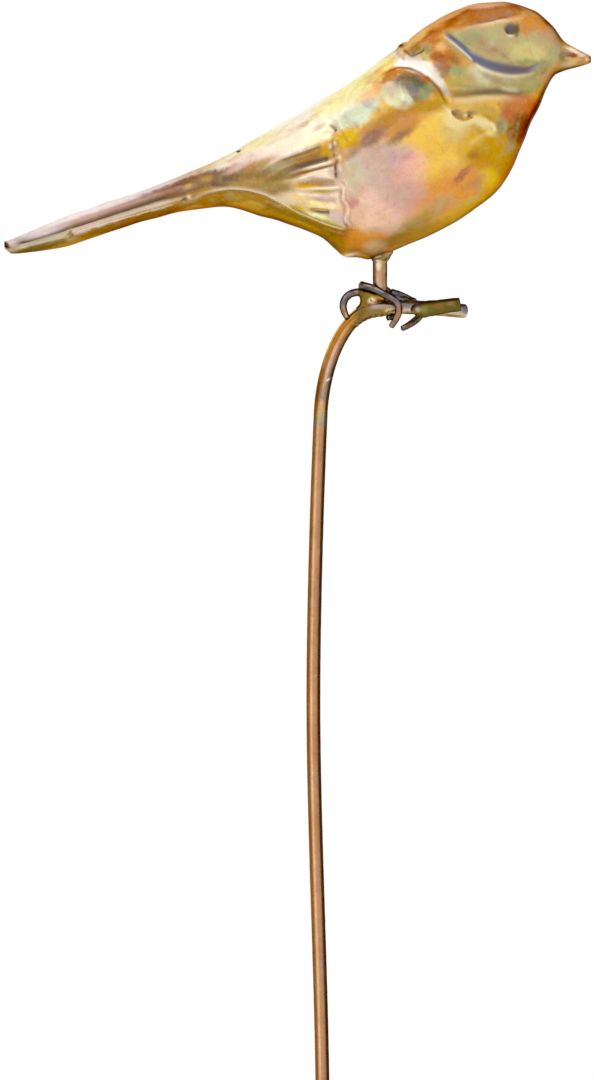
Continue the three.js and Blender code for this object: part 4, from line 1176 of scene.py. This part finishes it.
skin = base_grid(0.0)
print("skin grid:", skin.shape, "length mm:", round(float(np.ptp(skin[..., 0])), 1))

# %% [markdown]
# ## Pressing the relief
# The die pressed creases, lips and pleats into the sheet. Each is a line drawn over the photograph: a
# groove sinks along its line, a ridge rises along it, a lip lifts one side of it, and all fade at their
# ends. The sum is one height over the skin, and the same lines say where shade is painted dark into the
# creases, where the blue tint lies, and where highlights are painted bright along lips and ridges.

# %% Lines over the skin
place = np.stack(photo_px(skin[..., 0], skin[..., 2]), axis=-1)
height = np.zeros(place.shape[:2])
crease_shade = np.zeros_like(height)
blue = np.zeros_like(height)
lip_highlight = np.zeros_like(height)


def from_line(points, reach):
    """Distance, side (+ to the right of the line's run on the page) and share along it, near the line."""
    line = catmull(points, 8)
    low, high = line.min(0) - reach, line.max(0) + reach
    near = np.all((place > low) & (place < high), axis=-1)
    spots = place[near]
    best = np.full(len(spots), 1e9)
    side, share = np.zeros(len(spots)), np.zeros(len(spots))
    for k, (start, end) in enumerate(zip(line, line[1:])):
        run = end - start
        s = np.clip(((spots - start) @ run) / max(run @ run, 1e-9), 0, 1)
        gap = spots - start - s[:, None] * run
        away = np.hypot(gap[:, 0], gap[:, 1])
        closer = away < best
        best[closer] = away[closer]
        side[closer] = (run[0] * gap[:, 1] - run[1] * gap[:, 0])[closer]
        share[closer] = ((k + s) / (len(line) - 1))[closer]
    return near, best, np.where(side >= 0, 1.0, -1.0), share


def fade(share, ends):
    """Full in the middle of a line, easing to nothing over a share of it at each end."""
    return ease(share / max(ends[0], 1e-6)) * ease((1 - share) / max(ends[1], 1e-6))


# %% Grooves and lips
def bell(t, power=2):
    return np.exp(-(t**power))


def strongest(mask, near, values):
    mask[near] = np.maximum(mask[near], values)


def groove(points, depth, width, ends=(0.15, 0.15), dark=0.0, dark_width=0.6, power=2, swell=(1, 1),
           into=crease_shade):
    """Sinks along the line; swell gives its width at even steps along it, in shares of the width."""
    near, away, _, share = from_line(points, 3 * width)
    keep = fade(share, ends)
    width = width * np.interp(share, np.linspace(0, 1, len(swell)), swell)
    height[near] -= depth * bell(away / width) * keep
    strongest(into, near, dark * bell(away / (dark_width * width), power) * keep)


def raised(points, rise, edge, run, ends=(0.1, 0.1), bright=0.0, dark=0.0):
    """Lifts what lies to the right of the line, steeply at the line and sinking back over run; bright paints
    a highlight on the lifted edge and dark paints shade below it.
    """
    near, away, side, share = from_line(points, 2.6 * run + 2 * edge)
    keep = fade(share, ends)
    over = side * away
    step = ease(over / edge * 0.5 + 0.5) * bell(np.clip(over, 0, None) / run)
    height[near] += rise * step * keep
    strongest(lip_highlight, near, bright * bell((over - 0.6 * edge) / edge) * keep)
    strongest(crease_shade, near, dark * bell((over + 0.7 * edge) / edge) * keep)


def ridge(points, rise, width, ends=(0.15, 0.15), bright=0.0, dark=0.0):
    """A narrow cord along the line, with a painted highlight on top and painted shade close on either side.
    """
    near, away, _, share = from_line(points, 4 * width)
    keep = fade(share, ends)
    height[near] += rise * bell(away / width) * keep
    strongest(lip_highlight, near, bright * bell(away / width) * keep)
    strongest(crease_shade, near, dark * bell((away - 1.9 * width) / (0.7 * width)) * keep)


def spot(centre, reach):
    """Distance from a point in shares of the reach, for dimples, beads and glints."""
    reach = np.broadcast_to(reach, 2)
    return np.hypot((place[..., 0] - centre[0]) / reach[0], (place[..., 1] - centre[1]) / reach[1])


def dab(mask, strength, centre, reach, power=2):
    """A soft spot on one of the masks."""
    strongest(mask, ..., strength * bell(spot(centre, reach), power))


print("relief tools ready on", height.size, "points")

# %% [markdown]
# ### Head
# The cap ends in a lip at the nape and runs on as the long blue crease under the cheek. The eye is a
# punched dimple, and the beak carries the line of the mouth.

# %% Head relief
CAP_EDGE = [(398, 45), (401, 56), (408, 55.5), (417, 51), (425, 44), (435, 39), (446, 37.5)]
CAP_SHADOW = [(403, 50), (407, 53.5), (410.5, 55.7), (415.6, 53.2), (420.7, 50.6), (424, 47)]
CHEEK_CREASE = [(440, 30.5), (447, 36), (454, 42), (462, 49), (471, 56.8), (480, 62), (489, 65.8),
                (498, 68.6), (507, 70.4), (516, 71.2), (526, 70.8), (538, 67), (547, 64), (557, 60)]
CREASE_SHADOW = [(447, 34.5), (454, 40), (462, 46), (470, 53)]
CREASE_LIP = [(443, 35.5), (450, 41.3), (459, 48.8), (468, 56.8), (473, 62)]
CHEEK_ROLL = [(473, 62.5), (481, 69), (490, 73), (503, 76.2), (516.4, 77), (530, 74.8), (541, 70.5)]
BROW_SHADOW = [(474.5, 25.6), (484, 22.8), (492.7, 21), (503.6, 17.5), (514.5, 16.2)]
BROW = [(452.7, 35.3), (465.5, 31), (476, 27.6), (487, 24.6), (505.5, 20.6), (518, 18.4)]
MOUTH = [(558, 59), (566, 56), (575, 56.5), (587, 59.5)]
EYE, EYE_REACH = (511.3, 29.8), (7.8, 7.4)
raised(CAP_EDGE[::-1], 0.7, 2.0, 16, ends=(0.3, 0.0), dark=0.3)
groove(CAP_SHADOW, 0.6, 1.8, dark=0.75)
# painted shade in the notches at the cap's end
dab(crease_shade, 0.9, (401.5, 47.5), (3.4, 2.2))
dab(crease_shade, 0.6, (403.2, 58.6), (1.8, 1.6))
raised(CHEEK_CREASE[::-1], 1.3, 5.0, 26, ends=(0.3, 0.1))
groove(CHEEK_CREASE, 1.1, 5.0, ends=(0.12, 0.26), dark=0.9, dark_width=0.9, into=blue, power=4,
       swell=(0.35, 0.55, 0.9, 1, 1, 0.8, 0.5))
groove(CREASE_SHADOW, 0.2, 1.4, ends=(0.2, 0.3), dark=0.75)
groove(BROW_SHADOW, 0.3, 1.8, ends=(0.3, 0.3), dark=0.6)
ridge(BROW, 0.3, 1.8, ends=(0.5, 0.3), bright=0.4)
ridge(CREASE_LIP, 0.4, 1.1, ends=(0.4, 0.15), bright=0.75)
ridge(CHEEK_ROLL, 0.4, 1.8, ends=(0.1, 0.4), bright=0.45)
groove(MOUTH, 0.35, 1.8, ends=(0.15, 0.1), dark=0.35)

eye = spot(EYE, EYE_REACH)
height -= 1.1 * bell(eye / 0.75, 3)
height += 0.12 * bell((eye - 1.2) / 0.3)
# the eye: its blue tint, painted shade round the rim and a painted highlight below
dab(blue, 0.6, (510, 28.5), (4, 3.6))
strongest(crease_shade, ..., 0.9 * bell(eye / 0.9, 6))
dab(crease_shade, 0.95, (516.2, 30), (3.4, 6.4), 4)
dab(crease_shade, 0.9, (505.6, 29.6), (2, 3))
dab(crease_shade, 0.85, (516, 35), (2.2, 3))
dab(lip_highlight, 0.85, (510, 36), (3.2, 1.8))
print("head pressed; lowest", round(float(height.min()), 2), "mm")

# %% [markdown]
# ### Collar and breast
# Two soft rolls ring the neck. Below them the breast starts at a scalloped edge with a small dark cup.

# %% Collar and breast relief
NAPE_GROOVE = [(399, 60), (412, 66), (424, 75), (435, 87), (443, 98), (449, 108)]
NECK_LINE = [(446, 96), (460, 96), (475, 94.5), (490, 93), (505, 93), (520, 94.5), (535, 95)]
BREAST_EDGE = [(440, 104.5), (445, 107.5), (452, 116), (463.6, 122.7), (470.7, 120.2), (479, 119),
               (487, 121.4), (493, 127), (496, 133.5)]
BREAST_FOLD = [(464, 150), (471, 142), (478, 136.5), (487, 133), (496, 131)]
groove(NAPE_GROOVE, 1.5, 7.5, ends=(0.1, 0.2))
groove(NECK_LINE, 0.9, 4.0, ends=(0.12, 0.25), dark=0.65, dark_width=0.8)
ridge([(x, y + 5.5) for x, y in NECK_LINE], 0.35, 3.0, ends=(0.15, 0.55), bright=0.3)
groove([(474, 68), (490, 79), (508, 85), (528, 87)], 0.35, 4.5, ends=(0.3, 0.3), dark=0.2)
groove([(452, 84), (470, 88), (488, 87)], 0.3, 3.0, ends=(0.3, 0.3), dark=0.2)
ridge([(498, 88), (510, 91), (522, 92)], 0.3, 2.0, ends=(0.3, 0.3), bright=0.35)
raised(BREAST_EDGE, 1.3, 2.4, 18, ends=(0.15, 0.3), bright=0.3)
ridge(BREAST_EDGE, 0.35, 1.5, ends=(0.15, 0.25), bright=0.3)
ridge(BREAST_EDGE[1:4], 0.1, 1.5, ends=(0.25, 0.3), bright=0.8)
ridge(BREAST_EDGE[6:], 0.1, 1.8, ends=(0.3, 0.3), bright=0.6)
# the cup: painted shade, a blue tint and a painted highlight
groove([(450, 111), (462, 117), (478, 113)], 1.8, 4.0, ends=(0.25, 0.25), dark=0.75)
dab(blue, 0.5, (457, 112), (5, 2.6))
dab(blue, 0.5, (473, 113.5), (5, 2.6))
dab(lip_highlight, 0.75, (465.5, 115.5), (2.8, 2.2))
raised(BREAST_FOLD, 0.45, 2.4, 12, ends=(0.3, 0.3), bright=0.2)
print("breast pressed; height range", round(float(height.min()), 2), round(float(height.max()), 2))

# %% [markdown]
# ### Wing
# The folded wing starts at a round shoulder with a rolled rim around a sunken panel, and its lower edge
# slopes back across the flank to a ragged end.

# %% Wing relief
SHOULDER_RIM = [(370, 88), (380, 79), (393, 71.5), (408, 68), (421, 71.5), (432, 80), (440, 91), (445, 102),
                (446, 110)]
RIM_SHADOW = [(391, 71.5), (397, 69.3), (404, 68.3), (412, 69.6), (420, 73.2), (429.6, 80.2), (438, 89.6),
              (442.6, 96), (446, 104)]
PANEL_EDGE = [(386, 86), (396, 80.5), (407, 79), (418, 82.5), (427, 90), (432, 100)]
WING_LOW_EDGE = [(447, 108), (434, 112), (418, 116), (403, 122), (390, 124), (376, 129), (363, 139),
                 (355, 149), (344, 154)]
WING_FOLD = [(420, 120), (408, 126), (400, 135), (390, 141), (376, 147), (360, 153)]
raised(SHOULDER_RIM, 1.2, 3.0, 26, ends=(0.3, 0.1))
groove(RIM_SHADOW, 0.35, 1.7, ends=(0.2, 0.15), dark=0.6, dark_width=0.9)
groove(PANEL_EDGE, 0.8, 4.5, ends=(0.25, 0.2), dark=0.3, dark_width=0.8)
raised([(399, 80), (404, 88), (409, 97), (415, 105)], 0.7, 3.0, 14, ends=(0.25, 0.25), bright=0.15)
raised(WING_LOW_EDGE, 0.9, 6.0, 26, ends=(0.15, 0.15))
raised(WING_FOLD, 0.45, 3.5, 12, ends=(0.3, 0.3), dark=0.15)
groove([(356, 104), (370, 110), (384, 114)], 0.45, 3.4, ends=(0.3, 0.3), dark=0.1)
groove([(338, 116), (350, 125), (362, 130)], 0.45, 3.4, ends=(0.3, 0.3), dark=0.15)
groove([(329, 124), (333, 128), (337, 133)], 0.8, 2.2, ends=(0.2, 0.2), dark=0.75)
print("wing pressed; height range", round(float(height.min()), 2), round(float(height.max()), 2))

# %% [markdown]
# ### Flank edge and pleats
# The flank ends behind in a wavy lip beaded with small folds. From it the flight feathers run back as
# pleats that close like a fan towards the tail.

# %% Flank and pleat relief
FLANK_EDGE = [(331, 124), (336, 131), (333, 140), (336, 148), (341, 156), (337, 165), (338, 176),
              (344, 187), (343, 197), (349, 208), (347, 218), (353, 229), (361, 237)]
FLANK_CORD = [(337, 184), (343, 187), (343.5, 195), (344, 201), (348, 207), (347.5, 213), (346.5, 219),
              (349, 225), (354, 229.5)]
VENT_LIP = [(352, 229), (337, 227), (326.5, 224), (315.5, 219.6), (303, 215), (290, 208.6), (280, 202.7),
            (273, 198.6), (266, 194.6), (258.6, 192.6), (247, 190), (228, 189.5), (210, 191.5), (193, 197),
            (178, 203.5)]
BEADS = [((334.4, 146.7), (4.2, 5)), ((335.7, 155), (2.6, 2.8)), ((339.6, 172), (4.6, 7.5))]
HOLLOWS = [((336.5, 176), (2.6, 3.4)), ((336.5, 162), (1.8, 2.4))]
GLINTS = [((340, 158), (1.8, 2.4)), ((330.5, 147), (2, 2.6)), ((189, 197), (2.4, 2.2))]
PLEATS = [
    # line, depth, width, dark
    ([(322, 146.3), (299, 154.5), (280, 161.5), (266, 167)], 0.5, 2.0, 0.75),
    ([(329, 158), (311, 164), (299, 167.5), (285, 173.5), (258, 183)], 1.1, 3.8, 0.7),
    ([(337, 165), (320, 168.7), (302, 173.5), (284, 179)], 0.6, 2.1, 0.75),
    ([(336, 182), (320, 181.5), (306, 182.8), (290, 186)], 0.6, 2.1, 0.65),
    ([(341, 190.5), (327, 193), (312, 193.4), (292, 192)], 0.5, 2.0, 0.5),
    ([(336, 202), (318, 201.3), (302, 199)], 0.35, 2.2, 0.25),
    ([(330, 213.8), (319, 213.2), (305, 210.8)], 0.8, 1.9, 0.85),
]
PLEAT_LIGHTS = [
    # line, rise, bright
    ([(334, 162), (322, 164.8), (311, 168), (300, 171.2)], 0.35, 0.75),
    ([(331, 171), (315, 173.8), (300, 178.5), (286, 182)], 0.3, 0.5),
    ([(342, 188.5), (330, 189), (312, 189.6), (288, 190.5)], 0.3, 0.65),
    ([(336, 208.5), (322, 207.6), (305, 205.5)], 0.3, 0.5),
]
raised(FLANK_EDGE[::-1], 1.0, 4.5, 18, ends=(0.2, 0.08))
ridge(FLANK_CORD, 0.5, 1.7, ends=(0.1, 0.15), bright=0.25, dark=0.3)
for line, depth, width, dark in PLEATS:
    groove(line, depth, width, ends=(0.06, 0.5), dark=dark, dark_width=0.8)
for line, rise, bright in PLEAT_LIGHTS:
    ridge(line, rise, 1.7, ends=(0.1, 0.5), bright=bright)
# beads: a painted highlight, a blue tint and painted shade below
for bead, reach in BEADS:
    away = spot(bead, reach)
    height += 0.7 * bell(away) - 0.3 * bell((away - 1.5) / 0.5)
    dab(lip_highlight, 0.6, (bead[0] + 0.35 * reach[0], bead[1] - 0.3 * reach[1]), 0.35 * np.array(reach))
    dab(blue, 0.3, bead, reach)
    dab(crease_shade, 0.5, (bead[0] - 0.55 * reach[0], bead[1] + 0.35 * reach[1]), 0.7 * np.array(reach))
# painted shade in the hollows
for hollow, reach in HOLLOWS:
    dab(crease_shade, 0.8, hollow, reach)
# painted highlights
for glint, reach in GLINTS:
    dab(lip_highlight, 0.8, glint, reach)
raised(VENT_LIP, 0.4, 3.4, 9, ends=(0.1, 0.1))
ridge(VENT_LIP, 0.15, 2.1, ends=(0.05, 0.2), bright=0.65)
groove([(x, y + 4) for x, y in VENT_LIP], 0.4, 2.6, ends=(0.08, 0.2), dark=0.12)
print("pleats pressed:", len(PLEATS), "and", len(PLEAT_LIGHTS), "ridges between them")

# %% [markdown]
# ### Tail and rough handling
# The tail is folded sharp along its side, and two narrow feathers overlap below the fold. Last come the
# shallow waves that any hand-finished sheet shows.

# %% Tail relief and waves
TAIL_FOLD = [(12, 243.5), (30, 240), (45, 236), (60, 230.7), (75, 225.2), (92, 220), (110, 214.6),
             (125, 209.8), (140, 205), (152, 200.8), (165, 196.6), (178, 193.8), (190, 191.8)]
STRIP_LONG = [(72, 233.5), (100, 225.5), (130, 217.3), (160, 208.7), (184, 201)]
STRIP_SHORT = [(20, 249.5), (45, 242.5), (70, 236)]
WAVES, WAVE_MM = 40, 0.035
groove(TAIL_FOLD, 0.6, 2.8, ends=(0.05, 0.2), dark=0.9, dark_width=1.1)
raised(STRIP_LONG[::-1], 0.5, 2.2, 7, ends=(0.02, 0.02), bright=0.15, dark=0.1)
raised(STRIP_SHORT[::-1], 0.4, 2.2, 7, ends=(0.02, 0.1), bright=0.15, dark=0.1)
groove([(184, 192), (188, 202)], 0.5, 1.7, ends=(0.2, 0.2), dark=0.4)
groove([(69, 228), (74, 238)], 0.5, 1.7, ends=(0.1, 0.2), dark=0.7)
groove([(235, 151), (241, 150)], 0.4, 1.8, ends=(0.3, 0.3), dark=0.9)
for corner, reach in (((344, 256), 8), ((369, 258), 7)):
    height += 0.9 * bell(spot(corner, reach))
# a painted highlight along the belly's lower edge
dab(lip_highlight, 0.9, (350, 254.5), (9, 1.9))


def neighbours(field, axis, reach):
    """The field shifted by every step within reach along one axis, with its edges held."""
    wide = np.pad(field, [(reach, reach) if a == axis else (0, 0) for a in (0, 1)], mode="edge")
    return [np.take(wide, np.arange(k, k + field.shape[axis]), axis) for k in range(2 * reach + 1)]


rng = np.random.default_rng(7)
for _ in range(WAVES):
    wave = rng.normal(size=2) / rng.uniform(6, 26)
    height += WAVE_MM * np.sin(place @ wave + rng.uniform(0, 6.28))
for axis in (0, 1):
    before, _, after = neighbours(height, axis, 1)
    height = 0.5 * height + 0.25 * (before + after)
print("relief from", round(float(height.min()), 2), "to", round(float(height.max()), 2), "mm")

# %% [markdown]
# The halves were soldered together. Brown is painted as shade on either side of the seam: from the side
# it is seen edge on, as a thin dark outline under the belly, up the breast and over the forehead.

# %% Painted shade along the seam
SEAM_SHADE_MM = 5.0
below = np.linspace(0, 1, TURNS + 1)[None] > 0.5
# how much of the painted shade is kept, by photo column
forehead = np.clip((place[..., 0] - 480) / 60, 0, 1)
beak_fade = np.clip((570 - place[..., 0]) / 10, 0, 1)
tail_fade = np.clip((place[..., 0] - 150) / 130, 0.3, 1)
amount = np.where(below, 0.8 * tail_fade, 0.8 * forehead)
seam_shade = bell(skin[..., 1] / SEAM_SHADE_MM) * amount * beak_fade
strongest(crease_shade, ..., seam_shade)
print("shaded points:", int((seam_shade > 0.3).sum()))

# %% [markdown]
# ## The half shells
# The height lifts the skin along its own normals. A second, coarser skin one sheet thickness inside
# closes each half, so that it is a real pressed sheet with an edge at the seam.


# %% Half shells
def unit(vectors):
    return vectors / np.maximum(np.linalg.norm(vectors, axis=-1, keepdims=True), 1e-9)


def outward(grid):
    """The skin's normals, level with the seam along its two edges."""
    normal = unit(np.cross(np.gradient(grid, axis=1), np.gradient(grid, axis=0)))
    normal[:, [0, -1], 1] = 0
    return unit(normal)


def lowest_near(field, reach):
    for axis in (0, 1):
        field = np.min(neighbours(field, axis, reach), axis=0)
    return field


lift = outward(skin)
if lift[STATIONS // 2, TURNS // 2, 1] < 0:
    lift = -lift
taper = np.clip(smooth_column(even_stations(STATIONS), 3) / 8, 0.15, 1)[:, None]
pressed = height * taper
outer_skin = skin + lift * pressed[..., None]
inner_skin = base_grid(SHEET_MM) + lift * lowest_near(pressed, COARSE + 1)[..., None]
for side_of_sheet in (outer_skin, inner_skin):
    np.clip(side_of_sheet[..., 1], 0, None, out=side_of_sheet[..., 1])
print("outer skin width mm:", round(2 * float(outer_skin[..., 1].max()), 1))


def grid_faces(start, rows, columns, corners):
    i, k = np.meshgrid(np.arange(rows - 1), np.arange(columns - 1), indexing="ij")
    first = (start + i * columns + k).ravel()
    return np.stack([first + corner for corner in corners], axis=1)


def stitch(outer, inner, flip):
    """Triangles from the fine outer edge to the coarse inner one."""
    faces = []
    for j in range(len(inner) - 1):
        edge = outer[COARSE * j:COARSE * (j + 1) + 1]
        fan = [(a, inner[j], b) for a, b in zip(edge, edge[1:])]
        fan.append((edge[-1], inner[j], inner[j + 1]))
        faces.extend(f[::-1] if flip else f for f in fan)
    return faces


def half_shell(name, side, material, node):
    inside = inner_skin[::COARSE, ::COARSE]
    rows, columns = outer_skin.shape[:2]
    few, thin = inside.shape[:2]
    points = np.vstack([outer_skin.reshape(-1, 3), inside.reshape(-1, 3)])
    points[:, 1] = side * (points[:, 1] + SEAM_GAP_MM / 2)
    fine = np.arange(rows * columns).reshape(rows, columns)
    coarse = rows * columns + np.arange(few * thin).reshape(few, thin)
    faces = grid_faces(0, rows, columns, (0, columns, columns + 1, 1)).tolist()
    faces += grid_faces(rows * columns, few, thin, (0, 1, thin + 1, thin)).tolist()
    faces += stitch(fine[:, 0], coarse[:, 0], False)
    faces += stitch(fine[:, -1], coarse[:, -1], True)
    faces += stitch(fine[0], coarse[0], True)
    faces += stitch(fine[-1], coarse[-1], False)
    if side > 0:
        faces = [tuple(f)[::-1] for f in faces]
    made = piece(name, points, faces, material, node)
    for label, values in (("crease_shade", crease_shade), ("blue", blue), ("lip_highlight", lip_highlight)):
        layer = made.data.attributes.new(label, "FLOAT", "POINT")
        full = np.concatenate([values.ravel(), np.zeros(few * thin)])
        layer.data.foreach_set("value", np.clip(full, 0, 1).astype(np.float32))


half_shell("right_half", -1, near_copper, "right_half_shell")
half_shell("left_half", 1, far_copper, "left_half_shell")

# %% [markdown]
# ## The stake rod
# One rod makes stake and perch. It stands plumb, bows back a little, bends over in a quarter ellipse and
# ends in a perch that droops slightly. The perch's end is half rounded, and the lower end, which the
# photograph doesn't show, is a plain cut with its edge broken.

# %% Rod
ROD_RADIUS = 2.38
ROD_STEP = 1.2
EDGE_BREAK = 0.35  # the lower end's edge is filed back by this
PERCH_Z = 507.0
BEND_RISE, BEND_REACH = 42.0, 20.4
PERCH_SAG = 0.7  # the perch lies this much lower than in the solids
rod_points = [(0, 0, 0), (0, 0, 120), (0, 0, 240), (-3.1, 0, 373)]
for turn in np.linspace(0, math.pi / 2, 7):
    rise = (BEND_RISE - PERCH_SAG) * math.sin(turn)
    rod_points.append((LEG_X - BEND_REACH * math.cos(turn), 0, PERCH_Z - BEND_RISE + rise))
rod_points += [(LEG_X + 13, 0, PERCH_Z - PERCH_SAG), (LEG_X + 28.6, 0, PERCH_Z - 1.9)]
rod_path = even_path(catmull(rod_points, 24), ROD_STEP)
rod_radius = np.full(len(rod_path), ROD_RADIUS)
rod_radius[0] -= EDGE_BREAK
points, faces = sweep(rod_path, rod_radius, 28, cap=(0.0, 0.55), wobble=0.012, seed=3)
piece("stake", points, faces, rod_copper, "stake_rod")
print("rod length mm:", round(float(run_along(rod_path)[-1])))

# %% [markdown]
# ## Leg and toes
# The leg is a short length of rod. The toes are hammered wires bent round the perch. They are swept round,
# a little thicker at the root than at the tip, and the hammering is left to their unevenness, their tint
# and the highlight and shade painted on them.

# %% Leg
LEG_RADIUS = 2.45
BEDDING_MM = 0.3  # gap between the bars, which the braze fills
leg_ends = np.array([(LEG_X, 0, PERCH_Z + ROD_RADIUS + BEDDING_MM), (LEG_X, 0, leg_high.z / MM)])
points, faces = sweep(even_path(leg_ends, 0.5), LEG_RADIUS, 24, wobble=0.025, seed=11)
piece("leg", points, faces, leg_metal, "leg_rod")

# %% Toes
TOE_RADIUS = 1.1  # the plain wire, as in the solids
TOE_HAMMERED = 1.4  # the radius it is swept with, since hammering made it wider in the photograph
TOE_TAPER = (1.05, 0.95, 0.88, 0.7)  # shares of that radius at four places along a toe
WRAP = ROD_RADIUS + TOE_RADIUS + BEDDING_MM
STAND_OFF = LEG_RADIUS + TOE_RADIUS + BEDDING_MM
FOOT_TOP = WRAP + 1.6
# from the leg's axis at the height of the perch: ahead, to the far side, up
TOE_ROUTES = {
    "right_front_toe": [
        (-STAND_OFF - 2.6, -0.4 * STAND_OFF, FOOT_TOP + 1.4), (-2.4, -STAND_OFF + 0.3, FOOT_TOP + 0.3),
        (2.5, -STAND_OFF - 0.1, WRAP - 0.6), (5.7, -WRAP - 0.2, 1.0), (6.4, -WRAP - 0.1, -1.7),
        (5.5, -WRAP, -4.4), (3.9, -0.8 * WRAP, -7.1)],
    "middle_front_toe": [
        (STAND_OFF + 0.1, 0.2, FOOT_TOP - 1.1), (6.8, 1.2, WRAP - 0.4), (9.5, 2.5, WRAP - 1.6),
        (12.3, WRAP, 0.4), (13.9, WRAP + 0.1, -1.6), (13.3, 0.9 * WRAP, -3.7), (11.5, 0.65 * WRAP, -5.5),
        (9.2, 0.4 * WRAP, -7.0), (7.6, 0.3 * WRAP, -7.8)],
    "left_front_toe": [
        (0.4 * STAND_OFF, STAND_OFF, FOOT_TOP), (5.0, WRAP + 0.2, 0.7 * WRAP),
        (6.6, WRAP + 0.2, -0.2 * WRAP), (5.4, 0.85 * WRAP, -0.85 * WRAP), (2.8, 0.2 * WRAP, -1.12 * WRAP)],
    "hind_toe": [
        (-STAND_OFF - 0.1, 0.2, FOOT_TOP - 1.1), (-7.8, 0, FOOT_TOP - 0.9), (-10.1, 0, FOOT_TOP - 1.5),
        (-11.8, 0, FOOT_TOP - 3.1), (-12.5, -0.2, FOOT_TOP - 5.2), (-12.2, -0.6, FOOT_TOP - 7.4),
        (-11.2, -1.3, FOOT_TOP - 9.5)],
}
for seed, (name, route) in enumerate(TOE_ROUTES.items()):
    path = even_path(catmull(route, 16), 0.35) + (LEG_X, 0, PERCH_Z)
    radius = TOE_HAMMERED * np.interp(np.linspace(0, 1, len(path)), (0, 0.25, 0.8, 1), TOE_TAPER)
    points, faces = sweep(path, radius, 16, cap=(0.4, 0.5), wobble=0.05, seed=20 + seed)
    piece(name.replace("_toe", "_wire_toe"), points, faces, toe_metal, name)

# %% [markdown]
# ## Twig, braze and solder
# A short tapered rod lies beside the perch like a broken twig. Braze runs as smooth lumps wherever rods
# meet: a few balls are melted into one skin by a voxel remesh and smoothed, as the molten metal did by
# itself.

# %% Twig
TWIG_BUTT, TWIG_TIP, TWIG_LENGTH = 2.8, 2.3, 13.2
TWIG_TILT = math.radians(8)
butt = np.array((LEG_X + 14, -ROD_RADIUS - TWIG_BUTT - 0.1, PERCH_Z - 1.45))
tip = butt + TWIG_LENGTH * np.array((math.cos(TWIG_TILT), 0, math.sin(TWIG_TILT)))
twig_path = even_path(np.array([butt, tip]), 0.4)
twig_radius = np.linspace(TWIG_BUTT, TWIG_TIP, len(twig_path))
points, faces = sweep(twig_path, twig_radius, 20, cap=(0.2, 0.15), wobble=0.07, seed=31)
piece("twig", points, faces, twig_olive, "twig_stub")


# %% Melted lumps
VOXEL_MM = 0.28


def melted(name, origin, balls, material, node):
    """Balls, as (x, y, z, radius) from an origin, melted into one lump."""
    mesh = bmesh.new()
    for *offset, radius in balls:
        ball = bmesh.ops.create_icosphere(mesh, subdivisions=3, radius=radius)["verts"]
        bmesh.ops.translate(mesh, verts=ball, vec=np.array(origin) + offset)
    rough = bpy.data.meshes.new(name + "_rough")
    mesh.to_mesh(rough)
    mesh.free()
    holder = bpy.data.objects.new(name + "_rough", rough)
    bpy.context.collection.objects.link(holder)
    remesh = holder.modifiers.new("melt", "REMESH")
    remesh.mode = "VOXEL"
    remesh.voxel_size = VOXEL_MM
    soften = holder.modifiers.new("soften", "SMOOTH")
    soften.factor, soften.iterations = 0.5, 12
    bpy.context.view_layer.update()
    molten = holder.evaluated_get(bpy.context.evaluated_depsgraph_get())
    lump = bpy.data.meshes.new_from_object(molten)
    points = np.array([v.co[:] for v in lump.vertices])
    faces = [tuple(p.vertices) for p in lump.polygons]
    bpy.data.objects.remove(holder)
    piece(name, points, faces, material, node, sharp=math.pi)


# %% Braze
FOOT_BALLS = [
    (-6.1, -0.3, 4.2, 1.7), (-5.0, -0.4, 2.3, 1.9), (-4.9, 0, 0.4, 2.1), (-6.3, 0, -1.6, 2.0),
    (-3.6, -0.5, 3.6, 2.1), (-1.9, -0.6, 3.0, 2.3), (0, 0, 3.3, 3.0), (2.6, 0.3, 2.8, 2.3),
    (5.0, 0.8, 2.3, 2.0), (8.0, 1.0, 1.6, 1.9), (11.0, 1.0, 1.1, 1.8), (-9.0, 0, -5.6, 2.2),
    (-7.6, 0, -4.2, 2.4), (-6.0, 0, -3.1, 2.5), (-4.2, 0, -2.3, 2.5), (-2.2, 0, -1.8, 2.5),
    (0, 0, -1.6, 2.4), (2.0, 0, -1.4, 2.3),
]
BELLY_BALLS = [
    (-0.3, -0.2, -0.3, 2.9), (0.9, 0, 0.4, 2.9), (2.4, 0, 1.6, 2.2), (-0.8, -1.7, -1.8, 1.0),
    (0.6, 0.8, -0.8, 2.2),
]
TWIG_BALLS = [
    (2.5, 2.2, -0.4, 1.6), (5.0, 2.2, 0.2, 1.4), (0.6, 2.2, -0.2, 1.5), (-1.8, 1.8, 0.1, 1.9),
    (-0.9, 1.0, 0, 2.3), (0, 0.4, 0, 2.7), (1.0, 0.1, 0.1, 2.95),
]
melted("foot_lump", (LEG_X, 0, PERCH_Z), FOOT_BALLS, braze_gold, "foot_braze")
melted("belly_lump", (LEG_X, 0, SEAT_Z), BELLY_BALLS, leg_metal, "belly_braze")
melted("twig_lump", butt, TWIG_BALLS, twig_olive, "twig_braze")

# %% Solder inside the seam
SOLDER_RUNS = ("back_seam_solder", "breast_seam_solder")
for node in SOLDER_RUNS:
    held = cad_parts[node]
    held.data.materials.clear()
    held.data.materials.append(solder_grey)
print("solder finished:", SOLDER_RUNS)
